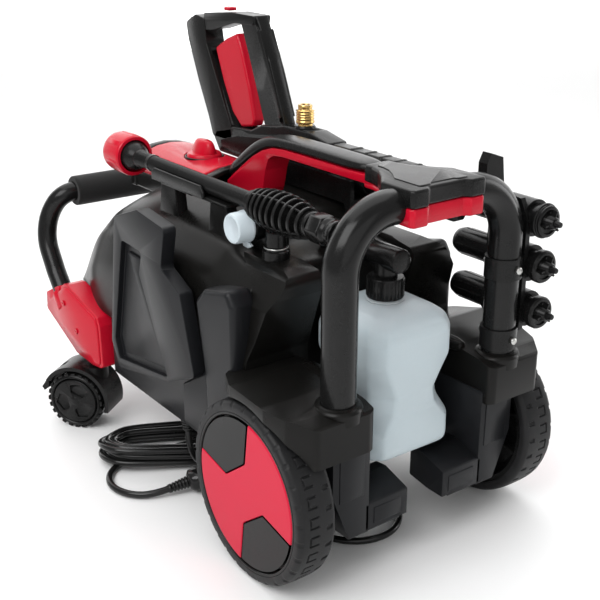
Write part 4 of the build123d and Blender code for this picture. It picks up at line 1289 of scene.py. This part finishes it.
def buildCasterWheel():
    middle = casterShape["wheel"]
    tread = [(10, 6.2), (34, 6.2), (36, 7.2), (36.8, 9.4), (37, 13), (37, 17), (36, 20.6), (34.4, 22.6),
        (32.6, 23.2), (31, 22.4), (30.2, 20.6), (29.0, 19.0), (3.2, 19.0), (3.2, 6.2)]
    parts = [lathe("caster_tread", tread, middle, "x", 72, closed=True)]
    face = lathe("caster_face", [(0.1, 18.0), (29.6, 18.0), (29.6, 22.0), (28.6, 23.2), (0.1, 23.4)],
        middle, "x", 72)
    pockets = []
    for k in range(casterShape["pockets"]):
        pocket = prism("caster_pocket", [(11.5, 47), (28.5, 47), (32, 57), (20, 64.5), (8, 57)], "x",
            20.2, 26, 1.5)
        pockets.append(moved(pocket, turnAbout((22, *middle[1:]), "X",
            360 * k / casterShape["pockets"] + 20)))
    parts.append(soften(boolean(face, pockets), 0.7, 2, 30))
    for k in range(casterShape["lugs"]):
        lug = prism("caster_lug", [(16.8, 73), (23.2, 73), (22.6, 75.9), (17.4, 75.9)], "x", 13, 22.6)
        parts.append(moved(soften(lug, 0.5, 2), turnAbout((15, *middle[1:]), "X",
            360 * k / casterShape["lugs"])))
    cap = lathe("caster_cap", [(0.1, 21), (6.0, 21), (6.0, 23.4), (4.6, 24.4), (0.1, 24.6)], middle, "x", 32)
    one = join("caster_wheel", parts + [cap])
    other = mirrorOf(one, "caster_wheel_b")
    pin = lathe("caster_pin", [(0.1, -23.8), (3, -23.8), (3, 23.8), (0.1, 23.8)], middle, "x", 24)
    return autoSmooth(join("caster_pair", [one, other, pin]), 35)


casterTurn = Matrix.Rotation(math.radians(casterShape["heading"]), 4, "Z")
casterPair = moved(buildCasterWheel(), carriedTo(casterShape["place"], casterTurn))
dressPair(casterPair, "caster_pair_far", satinBlack, "caster_black",
    ("caster_roller_left", "caster_wheels_left"), ("caster_roller_right", "caster_wheels_right"))
print("casters built")


# water inlet cap and pressure outlet
fittingShape = {"inlet": (0, 105, 329), "outlet": (-78, 74, 0)}
capAt, outletAt = fittingShape["inlet"], fittingShape["outlet"]
dustProfile = [(11.1, -92.6), (16.7, -92.6), (16.9, -93.4), (16.9, -96.0), (16.1, -96.9), (16.0, -108.6),
    (15.0, -110.8), (13.0, -111.6), (12.2, -111.0), (0.1, -110.6), (0.1, -105.4), (11.1, -105.4)]
dustCap = lathe("dust_cap_shell", dustProfile, capAt, "x", 64)
tab = soften(prism("dust_cap_tab", [(92, 311), (98, 307.6), (106, 308), (107, 312), (98, 314)], "x",
    -96.6, -93.2, 1), 0.6, 2)
dress(join("dust_cap", [dustCap, tab]), capWhite, "cap_white", "inlet_cap", body="dust_cap", angle=35)
inletNeck = lathe("inlet_neck", [(6.6, -103.8), (10.4, -103.8), (10.4, -92.0), (15.4, -91.6),
    (16.2, -90.4), (16.2, -74), (14.6, -72), (14.6, -50), (0.5, -50), (0.5, -63), (6.6, -63)], capAt, "x",
    56)
inletBoss = soften(box("inlet_boss", -78, -50, 88, 122, 296, 330), 4, 4, 24)
inletWhole = autoSmooth(join("inlet_boss_whole", [inletNeck, inletBoss]), 35)
dress(inletWhole, satinBlack, "rim_black", "inlet_fitting")
outletProfile = [(6.2, 304.4), (6.2, 327.6), (8.8, 329), (10.2, 329), (11, 328.2), (11, 313.8),
    (12.2, 313.2), (12.2, 310.2), (14, 309), (14, 300), (15.6, 298.8), (15.6, 297.6), (6.2, 297.6)]
outlet = lathe("outlet_neck", outletProfile, outletAt, "z", 56, closed=True)
dress(outlet, satinBlack, "rim_black", "outlet_fitting", angle=35)
dress(lathe("outlet_ring", [(10.9, 311.2), (12.5, 311.2), (12.7, 312), (12.5, 312.8), (10.9, 312.8)],
    outletAt, "z", 56, closed=True), steelMetal, "steel")
print("fittings built")


# remaining CAD parts
keep(tubePaint, 0, "hoop_tube_left", "hoop_tube_right", "front_handle_tube")
keep(satinBlack, 0.8, "nozzle_rack", "hose_hook", "gun_holster", "caster_hood_left", "caster_hood_right",
    "caster_pedal_left", "caster_pedal_right")
keep(capWhite, 0.6, "switch_box")
keep(steelMetal, 0.3, "rear_axle", "axle_clips", "motor_rotor", "motor_casing")
keep(castMetal, 0, "pump")
keep(shellRed, 0.3, "bracket_screws")


# floor and studio light
studio = {"floor": (0.86, 0.86, 0.86), "key": 34.0, "fill": 7.0, "top": 30.0, "side": 10.0, "world": 0.42,
    "backdrop": 1.0}
floorMesh = linkMesh("floor", [(-9, -9, 0), (9, -9, 0), (9, 9, 0), (-9, 9, 0)], [[0, 1, 2, 3]])
floorPaint, floorTree, floorShader, floorPlace = startMaterial("floor paint")
floorTree.links.new(mixColor(floorTree, spread(floorTree, noise(floorTree, floorPlace, 3.0), 0.3, 0.7,
    0.0, 0.04), (*studio["floor"], 1), (0.8, 0.8, 0.8, 1)), floorShader.inputs["Base Color"])
floorShader.inputs["Roughness"].default_value = 0.55
floorShader.inputs["Specular IOR Level"].default_value = 0.25
floorMesh.data.materials.append(floorPaint)

wall = linkMesh("backdrop", [(-2.5, 6.5, -0.5), (7.0, -0.5, -0.5), (7.0, -0.5, 6.0), (-2.5, 6.5, 6.0)],
    [[0, 1, 2, 3]])
wallPaint, wallTree, wallShader, wallPlace = startMaterial("backdrop paint")
wallTone = mixColor(wallTree, spread(wallTree, noise(wallTree, wallPlace, 0.6), 0.3, 0.7, 0.0, 0.02),
    (1, 1, 1, 1), (0.96, 0.96, 0.96, 1))
wallTree.links.new(wallTone, wallShader.inputs["Base Color"])
wallTree.links.new(wallTone, wallShader.inputs["Emission Color"])
wallShader.inputs["Emission Strength"].default_value = studio["backdrop"]
wall.data.materials.append(wallPaint)


def softLight(name, place, target, wide, power):
    data = bpy.data.lights.new(name, "AREA")
    data.shape = "RECTANGLE"
    data.size, data.size_y = wide
    data.energy = power
    return aim(linkObject(name, data), place, target)


softLight("key light", (-1500, -300, 1700), (0, 150, 200), (1.6, 1.2), studio["key"])
softLight("fill light", (-500, -1900, 900), (0, 100, 250), (2.2, 1.4), studio["fill"])
softLight("top light", (200, 700, 2100), (0, 200, 250), (2.4, 2.4), studio["top"])
softLight("side light", (1700, -500, 700), (0, 100, 250), (0.5, 1.6), studio["side"])

world = bpy.data.worlds.new("studio")
world.use_nodes = True
world.node_tree.nodes["Background"].inputs["Color"].default_value = (1.0, 1.0, 1.0, 1)
world.node_tree.nodes["Background"].inputs["Strength"].default_value = studio["world"]
scene = bpy.context.scene
scene.world = world
scene.view_settings.view_transform = "Standard"
scene.view_settings.look = "None"
print("stage set")
